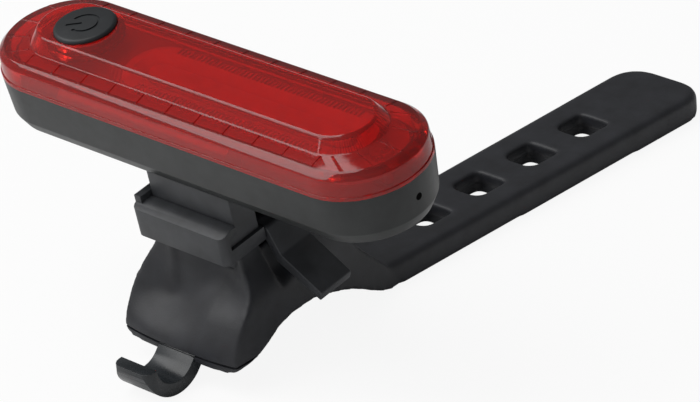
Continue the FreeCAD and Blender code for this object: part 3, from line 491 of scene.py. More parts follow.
BUTTON_RADIUS = 5.1
BUTTON_GAP = 0.1
BUTTON_FLANGE = 1.0
BUTTON_FLANGE_TOP = 4.9


def inside_corner(before, here, after):
    """Point under a bent wall, one wall thickness from both runs that meet at a corner."""
    normals = []
    for a, b in ((before, here), (here, after)):
        run = (Vector(b) - Vector(a)).normalized()
        normals.append(Vector((run.y, -run.x)))
    total = normals[0] + normals[1]
    return Vector(here) + total * (2 * LENS_WALL / total.length_squared)


shoulder = (LENS_DRAFT, LENS_SIDE)
bend = (BEND_INSET, BEND_Z)
ring_top = (RING_INSET, RING_Z)
island_top = (ISLAND_INSET, TOP_Z)
under_ring = inside_corner(bend, ring_top, island_top)
under_top = inside_corner(ring_top, island_top, (LIGHT_WIDTH / 2, TOP_Z))
slope = Vector(ring_top) - Vector(bend)
under_shoulder_z = under_ring.y - (under_ring.x - SKIRT_INNER) * slope.y / slope.x
rib_low = Vector(bend) + slope.normalized() * RIB_MARGIN
rib_high = Vector(ring_top) - slope.normalized() * RIB_MARGIN
print("inner wall from", [round(v, 2) for v in under_ring], "to", [round(v, 2) for v in under_top])

# %% Lens shell
ISLAND_EDGE = 0.7
SHOULDER_EDGE = 0.6
BEND_EDGE = 0.6
INNER_EDGE = 0.3

outside = rounded([
    (ISLAND_INSET + 1, TOP_Z, 0), (*island_top, ISLAND_EDGE), (*ring_top, INNER_EDGE),
    (*rib_high, 0), (*rib_low, 0), (*bend, BEND_EDGE), (*shoulder, SHOULDER_EDGE),
    (FLANGE_STEP, FLANGE_HEIGHT, 0), (0, FLANGE_HEIGHT, FLANGE_EDGE), (0, 0, 0), (SKIRT_OUTER, 0, 0),
    (SKIRT_OUTER + SKIRT_LEAN, -SKIRT_DEPTH, 0), (SKIRT_INNER, -SKIRT_DEPTH, 0),
    (SKIRT_INNER, under_shoulder_z, 0), (*under_ring, 0), (*under_top, 0),
])


def island_pull(inset):
    """Distance by which the ends are drawn in: the island is shorter than the ring round it."""
    return END_PULL if inset > rib_high.x - 0.1 else 0.0


bm = bmesh.new()
rings = stadium_wall(bm, outside, island_pull)
bmesh.ops.edgeloop_fill(bm, edges=rings[0])
bmesh.ops.edgeloop_fill(bm, edges=rings[-1])
bmesh.ops.recalc_face_normals(bm, faces=bm.faces)

band = {i for i, point in enumerate(outside) if point in (rib_high, rib_low)}
ring_index = {edge: i for i, ring in enumerate(rings) for edge in ring}
for face in bm.faces:
    face.material_index = int(band <= {ring_index.get(edge) for edge in face.edges})
print("faces of the ring's rib band:", sum(face.material_index for face in bm.faces))

# %% Ribs on the ring
rib_places = [(i - (RIB_COUNT - 1) / 2) * RIB_PITCH for i in range(RIB_COUNT)]
for x in rib_places:
    for side in (-1, 1):
        faces = [f for f in bm.faces if f.material_index == 1]
        edges = list({e for f in faces for e in f.edges})
        verts = list({v for f in faces for v in f.verts})
        cut_at = (x + side * RIB_WIDTH / 2, 0, 0)
        bmesh.ops.bisect_plane(bm, geom=faces + edges + verts, plane_co=cut_at, plane_no=(1, 0, 0))


def is_rib(face):
    """True for a face of the rib band that lies on one of the ribs' places."""
    centre = face.calc_center_median()
    if face.material_index != 1:
        return False
    turn = math.degrees(math.atan2(centre.y, abs(centre.x) - REACH + END_PULL / 2))
    if abs(turn) > RIB_END_REACH:
        return any(abs(centre.x - x) < RIB_WIDTH / 2 for x in rib_places)
    return any(abs(turn - place) < 1 for place in RIB_END_TURNS)


ribs = [face for face in bm.faces if is_rib(face)]
bmesh.ops.inset_region(bm, faces=ribs, thickness=RIB_EDGE, depth=RIB_HEIGHT)
print("ribs:", len(ribs))

# %% Flutes inside the island
inner_ring, inner_top = set(rings[-2]), set(rings[-1])
long_edges = [e for e in inner_ring | inner_top if e.is_valid and e.calc_length() > REACH]
cuts = 2 * round(2 * REACH / FLUTE_PITCH) - 1
bmesh.ops.subdivide_edges(bm, edges=long_edges, cuts=cuts, use_grid_fill=True)
low_z, high_z = under_ring.y + FLUTE_MARGIN, under_top.y - FLUTE_MARGIN
flutes = []
for face in bm.faces:
    in_height = low_z < face.calc_center_median().z < high_z
    if in_height and FLUTE_FACING[0] < face.normal.z < FLUTE_FACING[1]:
        flutes.append(face)
flutes.sort(key=lambda face: (face.calc_center_median().y > 0, face.calc_center_median().x))
bmesh.ops.inset_individual(bm, faces=flutes[::2], thickness=FLUTE_EDGE, depth=FLUTE_DEPTH)
for face in bm.faces:
    face.material_index = 0
print("flutes:", len(flutes[::2]))

# %% Hole for the button, and the lens itself
hole_radius = BUTTON_RADIUS + BUTTON_GAP
hole = turned([(0, 0), (hole_radius, 0), (hole_radius, TOP_Z + 1), (0, TOP_Z + 1)], 64, (BUTTON_X, 0, 0))
seat_radius = BUTTON_RADIUS + BUTTON_FLANGE + BUTTON_GAP
seat_top = BUTTON_FLANGE_TOP + BUTTON_GAP
seat = turned([(0, 0), (seat_radius, 0), (seat_radius, seat_top), (0, seat_top)], 64, (BUTTON_X, 0, 0))
lens_mesh = carved(to_mesh(bm), "DIFFERENCE", hole, seat)
place_piece("clear_lens", lens_mesh, LAMP_FRAME, "lamp", "lens_red", "lens")

# %% [markdown]
# ## Reflector
#
# A white frame stands round the strip of chips. Its walls lean outwards to throw the light up, and
# both long rims carry a row of fine slots, which show through the lens as small dark ticks.

# %% Reflector with its slotted rims
REFLECTOR_Z = (1.9, 3.3)
REFLECTOR_HALF = 5.6
REFLECTOR_RIM = 1.3
WELL_HALF = 2.1
SLOT_PITCH = 0.85
SLOT_WIDTH = 0.45
SLOT_Z = 2.2
ARCS_APART = 0.01

start_x, end_x = (corner.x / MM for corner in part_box("reflector"))


def oblong(inset):
    """Outline of the reflector with round ends, drawn in by an inset."""
    half = REFLECTOR_HALF - inset
    low, high = start_x + inset, end_x - inset
    corners = [(low, -half), (high, -half), (high, half), (low, half)]
    return rounded([(*corner, half - ARCS_APART) for corner in corners])


well = prism(oblong(REFLECTOR_RIM), "Z", REFLECTOR_Z[0] - 0.1, REFLECTOR_Z[1] + 0.1)
lean_in = REFLECTOR_HALF - REFLECTOR_RIM - WELL_HALF
for vert in well.verts:
    if vert.co.z < REFLECTOR_Z[0]:
        vert.co.x += math.copysign(lean_in, (start_x + end_x) / 2 - vert.co.x)
        vert.co.y *= WELL_HALF / (REFLECTOR_HALF - REFLECTOR_RIM)
slots = bmesh.new()
count = int((end_x - start_x - 2 * REFLECTOR_HALF) / SLOT_PITCH)
for i in range(count + 1):
    x = (start_x + end_x) / 2 + (i - count / 2) * SLOT_PITCH
    for side in (-1, 1):
        place = Matrix.Translation((x, side * (REFLECTOR_HALF - REFLECTOR_RIM / 2), SLOT_Z + 1))
        size = Matrix.Diagonal((SLOT_WIDTH, REFLECTOR_RIM + 0.4, 2, 1))
        bmesh.ops.create_cube(slots, size=1, matrix=place @ size)
frame_mesh = carved(to_mesh(prism(oblong(0), "Z", *REFLECTOR_Z)), "DIFFERENCE", well, slots)
place_piece("reflector_frame", frame_mesh, LAMP_FRAME, "lamp", "reflector_white", "reflector")

# %% [markdown]
# ## Housing
#
# The housing is a dark tray with leaning walls and a chamfered back. It is drawn like the lens, as
# one closed section pulled through the stadium outline, with a groove for the seal in its rim.
# The recess for the charging plug and the small hole of the indicator are cut afterwards.

# %% Housing shell
HOUSING_DEPTH = 8.7
HOUSING_WALL = 1.6
HOUSING_DRAFT = 0.5
CHAMFER_HEIGHT = 2.2
CHAMFER_INSET = 1.2
GROOVE_WIDTH = 0.7
GROOVE_DEPTH = 0.6
CHAMFER_EDGE = 0.8
BACK_EDGE = 0.5

chamfer_z = CHAMFER_HEIGHT - HOUSING_DEPTH
back_inset = HOUSING_DRAFT + CHAMFER_INSET
groove_inset = (HOUSING_WALL - GROOVE_WIDTH) / 2
floor_z = HOUSING_WALL - HOUSING_DEPTH
tray = rounded([
    (back_inset + 2, -HOUSING_DEPTH, 0), (back_inset, -HOUSING_DEPTH, BACK_EDGE),
    (HOUSING_DRAFT, chamfer_z, CHAMFER_EDGE), (0, 0, 0),
    (groove_inset, 0, 0), (groove_inset, -GROOVE_DEPTH, 0),
    (groove_inset + GROOVE_WIDTH, -GROOVE_DEPTH, 0), (groove_inset + GROOVE_WIDTH, 0, 0),
    (HOUSING_WALL, 0, 0), (HOUSING_WALL + HOUSING_DRAFT * floor_z / chamfer_z, floor_z, 0),
])
bm = bmesh.new()
rings = stadium_wall(bm, tray)
bmesh.ops.edgeloop_fill(bm, edges=rings[0])
bmesh.ops.edgeloop_fill(bm, edges=rings[-1])
housing_mesh = to_mesh(bm)
print("tray faces:", len(housing_mesh.polygons))

# %% Plug recess, socket window and indicator hole
PLUG_X = 19.5
PLUG_Z = -4.3
PLUG_SIZE = (12.0, 4.0)
PLUG_CORNER = 1.4
PLUG_FACE = 9.77
SOCKET_SIZE = (7.7, 2.8)
SOCKET_CORNER = 0.4
SOCKET_DEPTH = 3
PIPE_Z = -3.4
PIPE_RADIUS = 0.6
PIPE_LENGTH = 8


def rounded_box(centre, size, corner, low, high):
    """Rounded rectangle in the XZ plane, drawn out along Y."""
    (x, z), (length, height) = centre, size
    corners = [(x + sx * length / 2, z + sz * height / 2, corner)
               for sx, sz in ((-1, -1), (1, -1), (1, 1), (-1, 1))]
    return prism(rounded(corners), "Y", low, high)


recess = rounded_box((PLUG_X, PLUG_Z), PLUG_SIZE, PLUG_CORNER, PLUG_FACE, LIGHT_WIDTH / 2 + 1)
window = rounded_box((PLUG_X, PLUG_Z), SOCKET_SIZE, SOCKET_CORNER, PLUG_FACE - SOCKET_DEPTH, PLUG_FACE + 1)
pipe_hole = bmesh.new()
tip = Matrix.Translation((LIGHT_LENGTH / 2, 0, PIPE_Z)) @ Matrix.Rotation(math.pi / 2, 4, "Y")
bmesh.ops.create_cone(pipe_hole, cap_ends=True, segments=24, radius1=PIPE_RADIUS, radius2=PIPE_RADIUS,
                      depth=PIPE_LENGTH, matrix=tip)
housing_mesh = carved(housing_mesh, "DIFFERENCE", recess, window, pipe_hole)
place_piece("housing_shell", housing_mesh, LAMP_FRAME, "lamp", "housing_plastic", "housing")

# %% [markdown]
# ## Charging plug
#
# A soft plug closes the charging socket in the housing's far wall. It is a rounded plate that fills
# its recess and leans with the wall, and a plain nose on it reaches into the socket.

# %% Plug
PLUG_GAP = 0.1
PLUG_HINGE_GAP = 0.35
TONGUE_SIZE = (5.4, 1.5)
TONGUE_REACH = 1.6
FACE_EDGE = 0.3
WALL_DEPTH = 9

plug_x = PLUG_X + (PLUG_HINGE_GAP - PLUG_GAP) / 2
plug_size = (PLUG_SIZE[0] - PLUG_HINGE_GAP - PLUG_GAP, PLUG_SIZE[1] - 2 * PLUG_GAP)
plate = rounded_box((plug_x, PLUG_Z), plug_size, PLUG_CORNER - PLUG_GAP,
                    PLUG_FACE + PLUG_GAP, LIGHT_WIDTH / 2 + 1)
tongue = slab((PLUG_X - TONGUE_SIZE[0] / 2, PLUG_FACE - TONGUE_REACH, PLUG_Z - TONGUE_SIZE[1] / 2),
              (PLUG_X + TONGUE_SIZE[0] / 2, PLUG_FACE + 0.5, PLUG_Z + TONGUE_SIZE[1] / 2))
reach = LIGHT_WIDTH / 2
foot_y = reach + HOUSING_DRAFT / chamfer_z * WALL_DEPTH
leaning = [(0, 0), (reach, 0), (foot_y, -WALL_DEPTH), (0, -WALL_DEPTH)]
wall = prism(leaning, "X", -LIGHT_LENGTH, LIGHT_LENGTH)
plug_mesh = carved(to_mesh(plate), "INTERSECT", wall)
plug_mesh = carved(plug_mesh, "UNION", tongue)
place_piece("charging_plug", plug_mesh, LAMP_FRAME, "plug", "plug_rubber", "usb_plug", edge=FACE_EDGE)

# %% [markdown]
# ## Button
#
# The button is a soft rubber cap with a rounded edge and a slightly crowned top. It is a turned
# shape, so its half section is spun about the upright axis. The power symbol, an open ring and a
# bar, is cut a little into its top.

# %% Button cap with its symbol
BUTTON_TOP = 7.75
BUTTON_CROWN = 0.12
BUTTON_EDGE = 0.55
BUTTON_WALL = 1.3
STEM_RADIUS = 1.2
FLANGE_BOTTOM = 4.2
SYMBOL_RADIUS = 2.3
SYMBOL_LINE = 0.5
SYMBOL_DEPTH = 0.25
SYMBOL_OPENING = math.radians(80)
SYMBOL_TURN = math.radians(37)
BAR_ENDS = (0.7, 0.4)

cap = rounded([
    (0, BUTTON_TOP, 0), (BUTTON_RADIUS, BUTTON_TOP - BUTTON_CROWN, BUTTON_EDGE),
    (BUTTON_RADIUS, BUTTON_FLANGE_TOP, 0), (BUTTON_RADIUS + BUTTON_FLANGE, BUTTON_FLANGE_TOP, 0),
    (BUTTON_RADIUS + BUTTON_FLANGE, FLANGE_BOTTOM, 0), (BUTTON_RADIUS - BUTTON_WALL, FLANGE_BOTTOM, 0),
    (BUTTON_RADIUS - BUTTON_WALL, BUTTON_TOP - BUTTON_WALL, 0), (STEM_RADIUS, BUTTON_TOP - BUTTON_WALL, 0),
    (STEM_RADIUS, FLANGE_BOTTOM, 0), (0, FLANGE_BOTTOM, 0),
])
button_mesh = to_mesh(turned(cap, 72, (BUTTON_X, 0, 0)))

low, high = BUTTON_TOP - SYMBOL_DEPTH, BUTTON_TOP + 1
section = [(SYMBOL_RADIUS - SYMBOL_LINE / 2, low), (SYMBOL_RADIUS + SYMBOL_LINE / 2, low),
           (SYMBOL_RADIUS + SYMBOL_LINE / 2, high), (SYMBOL_RADIUS - SYMBOL_LINE / 2, high)]
arc = bmesh.new()
symbol = Matrix.Translation((BUTTON_X, 0, 0)) @ Matrix.Rotation(SYMBOL_TURN, 4, "Z")
start = symbol @ Matrix.Rotation(math.pi + SYMBOL_OPENING / 2, 4, "Z")
face = arc.faces.new([arc.verts.new(start @ Vector((r, 0, z))) for r, z in section])
bmesh.ops.spin(arc, geom=[face], cent=(BUTTON_X, 0, 0), axis=(0, 0, 1),
               angle=math.tau - SYMBOL_OPENING, steps=36)
bar = slab((-SYMBOL_RADIUS - BAR_ENDS[0], -SYMBOL_LINE / 2, low), (-BAR_ENDS[1], SYMBOL_LINE / 2, high))
bmesh.ops.transform(bar, matrix=symbol, verts=bar.verts)
button_mesh = carved(button_mesh, "DIFFERENCE", arc, bar)
place_piece("button_rubber_cap", button_mesh, LAMP_FRAME, "button", "button_rubber", "button_cap")

# %% [markdown]
# ## Shoe, bracket and release latch
#
# The shoe is a straight block with side flanges. It slides in the bracket, whose section is a
# channel with two lips. Both are outlines drawn out along the lamp, then cut and joined, and a
# narrow bevel rounds the edges as a mould would.

# %% Shoe
SHOE_START = -8.4
SHOE_END = 9.4
SHOE_BOTTOM = -17.1
STEM_HALF = 8.9
FLANGE_HALF = 10.7
FLANGE_TOP = -15.2
CHANNEL_HALF = 4.2
CHANNEL_TOP = -11.5

half_section = [(CHANNEL_HALF, CHANNEL_TOP), (CHANNEL_HALF, SHOE_BOTTOM), (FLANGE_HALF, SHOE_BOTTOM),
                (FLANGE_HALF, FLANGE_TOP), (STEM_HALF, FLANGE_TOP), (STEM_HALF, -HOUSING_DEPTH)]
outline = half_section + [(-y, z) for y, z in reversed(half_section)]
shoe_mesh = to_mesh(prism(outline, "X", SHOE_START, SHOE_END))
place_piece("slide_shoe", shoe_mesh, LAMP_FRAME, "lamp", "bracket_plastic", "shoe", edge=0.18)

# %% Bracket
BRACKET_HALF_LENGTH = 9.9
BRACKET_HALF_WIDTH = 12.4
BRACKET_BOTTOM = -19.5
BRACKET_TOP = -13.8
SLOT_FLOOR = -17.2
LIP_HEIGHT = 1.3
LIP_HALF = 9.0
SLOT_HALF = 10.8
BAR_CHAMFER = (2.0, 0.7)
BAR_CORNER = 1.2
END_WALL = 1.4
END_WALL_RISE = 1.0
FOOT_LENGTH = 14.4
FOOT_WIDTH = 17.2
FOOT_LEG = 4.0
FOOT_TOP = -21.9
FOOT_BOTTOM = -23.1
LATCH_ROOT = 6.0
LATCH_HALF = 3.4
LATCH_GAP = 0.25

x, y = BRACKET_HALF_LENGTH, BRACKET_HALF_WIDTH
shoulder_y, shoulder_z = y - BAR_CHAMFER[0], BRACKET_TOP - BAR_CHAMFER[1]
block = prism([(-y, BRACKET_BOTTOM), (y, BRACKET_BOTTOM), (y, shoulder_z), (shoulder_y, BRACKET_TOP),
               (-shoulder_y, BRACKET_TOP), (-y, shoulder_z)], "X", -x, x)
plan = rounded([(-x, -y, BAR_CORNER), (x, -y, BAR_CORNER), (x, y, BAR_CORNER), (-x, y, BAR_CORNER)])
bracket_mesh = carved(to_mesh(block), "INTERSECT", prism(plan, "Z", BRACKET_BOTTOM - 1, BRACKET_TOP + 1))
inner_x = END_WALL - x
bracket_mesh = carved(
    bracket_mesh, "DIFFERENCE",
    slab((inner_x, -LIP_HALF, SLOT_FLOOR), (x + 1, LIP_HALF, BRACKET_TOP + 1)),
    slab((inner_x, -SLOT_HALF, SLOT_FLOOR), (x + 1, SLOT_HALF, BRACKET_TOP - LIP_HEIGHT)),
    slab((-LATCH_ROOT, -LATCH_HALF - LATCH_GAP, BRACKET_BOTTOM - 1),
         (x + 1, LATCH_HALF + LATCH_GAP, SLOT_FLOOR + 0.5)),
)
wall_y = y - BAR_CORNER
leg_x, leg_y = FOOT_LENGTH / 2, FOOT_WIDTH / 2
bracket_mesh = carved(
    bracket_mesh, "UNION",
    slab((-x, -wall_y, SLOT_FLOOR - 1), (inner_x, wall_y, BRACKET_TOP + END_WALL_RISE)),
    slab((-leg_x, -leg_y, FOOT_BOTTOM), (leg_x, FOOT_LEG - leg_y, BRACKET_BOTTOM)),
    slab((-leg_x, leg_y - FOOT_LEG, FOOT_BOTTOM), (leg_x, leg_y, BRACKET_BOTTOM)),
    slab((-leg_x, -leg_y, FOOT_BOTTOM), (leg_x, leg_y, FOOT_TOP)),
)
place_piece("slide_bracket", bracket_mesh, LAMP_FRAME, "mount", "bracket_plastic", "bracket", edge=0.18)

# %% Release latch
LATCH_TOP = SLOT_FLOOR - LATCH_GAP
LATCH_THICKNESS = 1.3
LATCH_EDGE_X = 10.0
RAMP_START = (12.0, -23.65)
RAMP_END = (19.4, -28.45)
TIP_CUT = 0.65
CATCH_X = 7.9
CATCH_RISE = 0.5
CATCH_HALF = 0.9

ramp = Vector(RAMP_END) - Vector(RAMP_START)
rise = LATCH_THICKNESS / math.cos(math.atan2(-ramp.y, ramp.x))
low = LATCH_TOP - LATCH_THICKNESS
outline = rounded([
    (LATCH_GAP - LATCH_ROOT, low, 0), (LATCH_EDGE_X - LATCH_THICKNESS, low, 0.6),
    (RAMP_START[0] - LATCH_THICKNESS, RAMP_START[1], 0.8), (RAMP_END[0] - TIP_CUT, RAMP_END[1], 0.2),
    (RAMP_END[0], RAMP_END[1] + rise, 0.3), (RAMP_START[0], RAMP_START[1] + rise, 0.8),
    (LATCH_EDGE_X, LATCH_TOP, 0.8), (CATCH_X + CATCH_HALF, LATCH_TOP, 0),
    (CATCH_X, LATCH_TOP + CATCH_RISE, 0.5), (CATCH_X - CATCH_HALF, LATCH_TOP, 0),
    (LATCH_GAP - LATCH_ROOT, LATCH_TOP, 0),
])
latch_mesh = to_mesh(prism(outline, "Y", -LATCH_HALF, LATCH_HALF))
place_piece("thumb_latch", latch_mesh, LAMP_FRAME, "latch", "bracket_plastic", "release_latch", edge=0.15)

# %% [markdown]
# ## Rubber strap
#
# The strap is one soft moulding: a saddle pad that flares from the bracket's foot down to its front
# edge, and a flat tail with holes. Rubber has no sharp edges and its forms run into each other, so
# the two are first drawn and joined as hard solids, with the arch for the post, the pockets and the
# holes cut out. A voxel remesh then turns the result into one even skin, and smoothing rounds every
# edge and fillets every inner corner, as in a rubber mould.
#
# The pad's form is kept in three tables by height: how far forward its corners and its middle
# reach, its half width at the front and at the rear, and how far back it reaches. The hump of its
# front leans a little to one side, and has a narrow ridge on the left and a shallow dent on the
# right.

# %% Sections of the pad
PAD_FRONT = ((-1.0, -11.4, -12.3), (3.0, -11.5, -12.5), (5.0, -11.7, -12.8), (6.6, -11.5, -12.3),
             (8.0, -11.0, -11.1), (9.4, -10.4, -9.6), (11.8, -9.0, -6.9), (13.4, -7.7, -6.1),
             (14.7, -6.7, -6.0), (16.1, -6.3, -5.9), (17.4, -6.1, -5.9), (29.0, -5.9, -5.9))
PAD_WIDTH = ((-1.0, 12.2, 7.8), (5.0, 12.3, 7.9), (6.6, 12.3, 8.0), (9.4, 12.4, 8.1), (11.8, 12.4, 8.2),
             (13.4, 12.2, 8.3), (14.7, 11.8, 8.4), (16.1, 11.0, 8.4), (17.4, 10.1, 8.4), (18.6, 9.3, 8.4),
             (21.0, 8.7, 8.4), (29.0, 8.6, 8.4))
PAD_REAR = ((-1.0, 31.0), (3.0, 28.6), (5.5, 26.6), (8.5, 23.2), (11.5, 20.4), (15.0, 17.8),
            (18.0, 16.4), (29.0, 15.0))
PAD_STEP = 0.9
FRONT_STEPS = 24
SIDE_STEPS = 14
TAPER = 1.7
FRONT_BOW = 2.5
HUMP_LEAN = 0.38
HUMP_HALF = 5
HUMP_RISE = (6, 5)
RIDGE = (-5.6, 0.9, 0.55)
RIDGE_RISE = (10, 3)
DENT = (4.5, 4.5, 1.5)
DENT_RISE = (12, 4)


def at_height(table, height):
    """Values of a table at a height, on straight runs between its rows."""
    height = min(table[-1][0], max(table[0][0], height))
    for low, high in zip(table, table[1:]):
        if height <= high[0]:
            share = (height - low[0]) / (high[0] - low[0])
            return [a + (b - a) * share for a, b in zip(low[1:], high[1:])]


def smooth_at(table, height):
    """Values of a table at a height, averaged over a short run so that no row shows."""
    samples = [at_height(table, height + step) for step in (-1.2, -0.6, 0, 0.6, 1.2)]
    return [sum(column) / len(samples) for column in zip(*samples)]


def risen(height, start, run):
    """Share from 0 to 1 that grows from a start height over a run."""
    return min(1, max(0, (height - start) / run))


def swell(x, middle, spread, size):
    """Height of a soft bump across the pad."""
    return size * math.exp(-((x - middle) / spread) ** 2)


def pad_section(height):
    """Outline of the pad at a height, from its front left corner round to the right."""
    corner_y, _ = smooth_at(PAD_FRONT, height)
    front_half, rear_half = smooth_at(PAD_WIDTH, height)
    rear_y, = smooth_at(PAD_REAR, height)
    lift = HUMP_LEAN * risen(height, *HUMP_RISE)
    points = []
    for step in range(FRONT_STEPS + 1):
        share = 2 * step / FRONT_STEPS - 1
        x = share * front_half
        middle_y = smooth_at(PAD_FRONT, height - lift * max(-HUMP_HALF, min(HUMP_HALF, x)))[1]
        ridge = swell(x, *RIDGE) * risen(height, *RIDGE_RISE)
        dent = swell(x, *DENT) * risen(height, *DENT_RISE)
        y = middle_y + (corner_y - middle_y) * abs(share) ** FRONT_BOW - ridge + dent
        points.append(Vector((x, y)))
    for side in (1, -1):
        run = []
        for step in range(1, SIDE_STEPS + 1):
            share = step / SIDE_STEPS
            half = rear_half + (front_half - rear_half) * (1 - share ** TAPER)
            run.append(Vector((side * half, corner_y + (rear_y - corner_y) * share)))
        points.extend(run if side == 1 else reversed(run))
    return points


print("points in a section:", len(pad_section(5)))

# %% Pad as a stack of sections
bm = bmesh.new()
height = PAD_FRONT[0][0]
foot = bm.faces.new([bm.verts.new((*point, height)) for point in pad_section(height)])
number = {vert: i for i, vert in enumerate(foot.verts)}
ring = list(foot.edges)
while height + PAD_STEP < PAD_FRONT[-1][0]:
    height += PAD_STEP
    outline = pad_section(height)
    made = bmesh.ops.extrude_edge_only(bm, edges=ring)
    ring = [item for item in made["geom"] if isinstance(item, bmesh.types.BMEdge)]
    raised = {}
    for vert in verts_of(made):
        below = [edge.other_vert(vert) for edge in vert.link_edges if edge.other_vert(vert) in number]
        raised[vert] = number[below[0]]
        vert.co = (*outline[raised[vert]], height)
    number = raised
bmesh.ops.edgeloop_fill(bm, edges=ring)
pad_mesh = to_mesh(bm)
print("pad faces:", len(pad_mesh.polygons))

# %% Tail
TAIL_THICKNESS = 4.4
TAIL_ROOT = 20.0
TAIL_ROOT_HALF = 7.8
TAIL_HALF = 8.8
TAIL_CORNER = 5.2
TAIL_EDGE = 0.7
HOLE_COUNT = 4
HOLE_FIRST = 44.4
HOLE_PITCH = 13.1
HOLE_HALF = (3.3, 3.4)
HOLE_CORNER = 1.9
HOLE_FAR_CORNER = 0.8
HOLE_LEDGE = 2.3
HOLE_STEP = 0.55

outline = rounded([(-TAIL_ROOT_HALF, TAIL_ROOT, 0), (TAIL_ROOT_HALF, TAIL_ROOT, 0),
                   (TAIL_HALF, TAIL_END, TAIL_CORNER), (-TAIL_HALF, TAIL_END, TAIL_CORNER)])
tail = prism(outline, "Z", 0, TAIL_THICKNESS)
upper = [edge for edge in tail.edges if min(v.co.z for v in edge.verts) > TAIL_THICKNESS / 2]
bmesh.ops.recalc_face_normals(tail, faces=tail.faces)
bmesh.ops.bevel(tail, geom=upper, offset=TAIL_EDGE, affect="EDGES", segments=1, profile=0.5, material=-1)


def hole_outline(y, grow):
    """Outline of a strap hole, whose far corners are tighter, grown on all sides."""
    x_half, y_half = HOLE_HALF[0] + grow, HOLE_HALF[1] + grow
    return rounded([(-x_half, y - y_half, HOLE_CORNER), (x_half, y - y_half, HOLE_CORNER),
                    (x_half, y + y_half, HOLE_FAR_CORNER), (-x_half, y + y_half, HOLE_FAR_CORNER)])


holes = []
for i in range(HOLE_COUNT):
    y = HOLE_FIRST + i * HOLE_PITCH
    holes.append(prism(hole_outline(y, 0), "Z", -1, TAIL_THICKNESS + 1))
    holes.append(prism(hole_outline(y, HOLE_STEP), "Z", -1, HOLE_LEDGE))
strap_mesh = carved(pad_mesh, "UNION", tail)
print("strap faces before the cuts:", len(strap_mesh.polygons))

# %% [markdown]
# The cuts follow. The arch's line is smooth through its points. The bracket's foot and the hook are
# moulded in, so each leaves a pocket of its own shape. The latch needs a channel under it, and more
# room at the channel's mouth, where its ramp swings down when it is pressed. Each tool runs on past
# the rubber, as far as the lengths named PAST say.

# %% Arch, pockets and holes
ARCH = ((-18.0, 2.0), (-14.5, 2.8), (-12.0, 3.6), (-9.0, 4.0), (-6.5, 4.5), (-4.0, 5.7),
        (-1.5, 7.1), (1.5, 8.0), (5.0, 8.2), (9.0, 7.8), (13.0, 6.6), (17.0, 5.2),
        (20.5, 3.5), (24.0, 1.6), (27.0, 0.4), (30.0, 0.0))
ARCH_STEPS = 6
ARCH_FOOT = -3
PAST_SIDE = 15
PAST_FRONT = 20
PAST_ARCH = 30
PAST_PAD = 40
PAST_ENDS = 60
CHANNEL_HALF_WIDTH = 4.2
CHANNEL_FLOOR = -21.5
PRESSED_RAMP = ((8.0, -20.5), (8.0, -22.5), (9.2, -26.0), (13.2, -29.4), (30, -29.4), (30, -20.5))
HOOK_WIDTH = 7.8
HOOK_CENTRE = (-16.3, 6.2)
HOOK_RADII = (4.0, 6.2)
HOOK_LEAN = math.radians(40)
HOOK_ANCHOR = 4.5
HOOK_TIP = math.radians(175)
HOOK_STEPS = 32
FRONT_HALF = 12.5
FRONT_LOW = 3.3
FRONT_CORNER = 2.2
FRONT_END_Y = -4.0


def flowing(points, steps):
    """Points of a smooth line through the given ones."""
    line = []
    ends = [points[0], *points, points[-1]]
    for a, b, c, d in zip(ends, ends[1:], ends[2:], ends[3:]):
        slope_b = (Vector(c) - Vector(a)) / 6
        slope_c = (Vector(d) - Vector(b)) / 6
        knots = [Vector(b), Vector(b) + slope_b, Vector(c) - slope_c, Vector(c)]
        line.extend(interpolate_bezier(*knots, steps + 1)[:-1])
    return [point.xy for point in line] + [Vector(points[-1])]


def leaned(bm):
    """Tool drawn in the lamp's frame, turned into the strap's."""
    place = Matrix.Translation((0, 0, LAMP_HEIGHT)) @ Matrix.Rotation(TILT, 4, "X")
    bmesh.ops.transform(bm, matrix=place, verts=bm.verts)
    return bm


def hook_outline():
    """Outline of the hook's bent strip in the YZ plane, from its anchor to its tip."""
    centre = Vector(HOOK_CENTRE)
    along = Vector((math.sin(HOOK_LEAN), math.cos(HOOK_LEAN))) * HOOK_ANCHOR
    runs = []
    for radius in HOOK_RADII:
        arc = []
        for step in range(HOOK_STEPS + 1):
            turn = -HOOK_LEAN + (HOOK_LEAN - HOOK_TIP) * step / HOOK_STEPS
            arc.append(centre + radius * Vector((math.cos(turn), math.sin(turn))))
        runs.append([arc[0] + along] + arc)
    return runs[1] + runs[0][::-1]


hook_half = HOOK_WIDTH / 2
kept = rounded([(-FRONT_HALF, FRONT_LOW, FRONT_CORNER), (FRONT_HALF, FRONT_LOW, FRONT_CORNER),
                (FRONT_HALF, PAST_FRONT, 0), (-FRONT_HALF, PAST_FRONT, 0)])
front_block = slab((-PAST_SIDE, -PAST_FRONT, FRONT_LOW - 2),
                   (PAST_SIDE, FRONT_END_Y, FRONT_LOW + FRONT_CORNER))
front_corners = carved(to_mesh(front_block), "DIFFERENCE",
                       prism(kept, "Y", -PAST_FRONT - 1, FRONT_END_Y + 1))
above_pad = slab((-PAST_PAD, -PAST_ENDS, BRACKET_BOTTOM),
                 (PAST_PAD, PAST_ENDS, BRACKET_BOTTOM + PAST_PAD))
arch_line = flowing(ARCH, ARCH_STEPS)
arch = prism(arch_line + [(PAST_PAD, 0), (PAST_PAD, ARCH_FOOT), (ARCH[0][0], ARCH_FOOT)],
             "X", -PAST_ARCH, PAST_ARCH)
channel = slab((-LATCH_ROOT, -CHANNEL_HALF_WIDTH, CHANNEL_FLOOR),
               (PAST_PAD, CHANNEL_HALF_WIDTH, BRACKET_BOTTOM + 1))
pressed_room = prism(PRESSED_RAMP, "Y", -CHANNEL_HALF_WIDTH, CHANNEL_HALF_WIDTH)
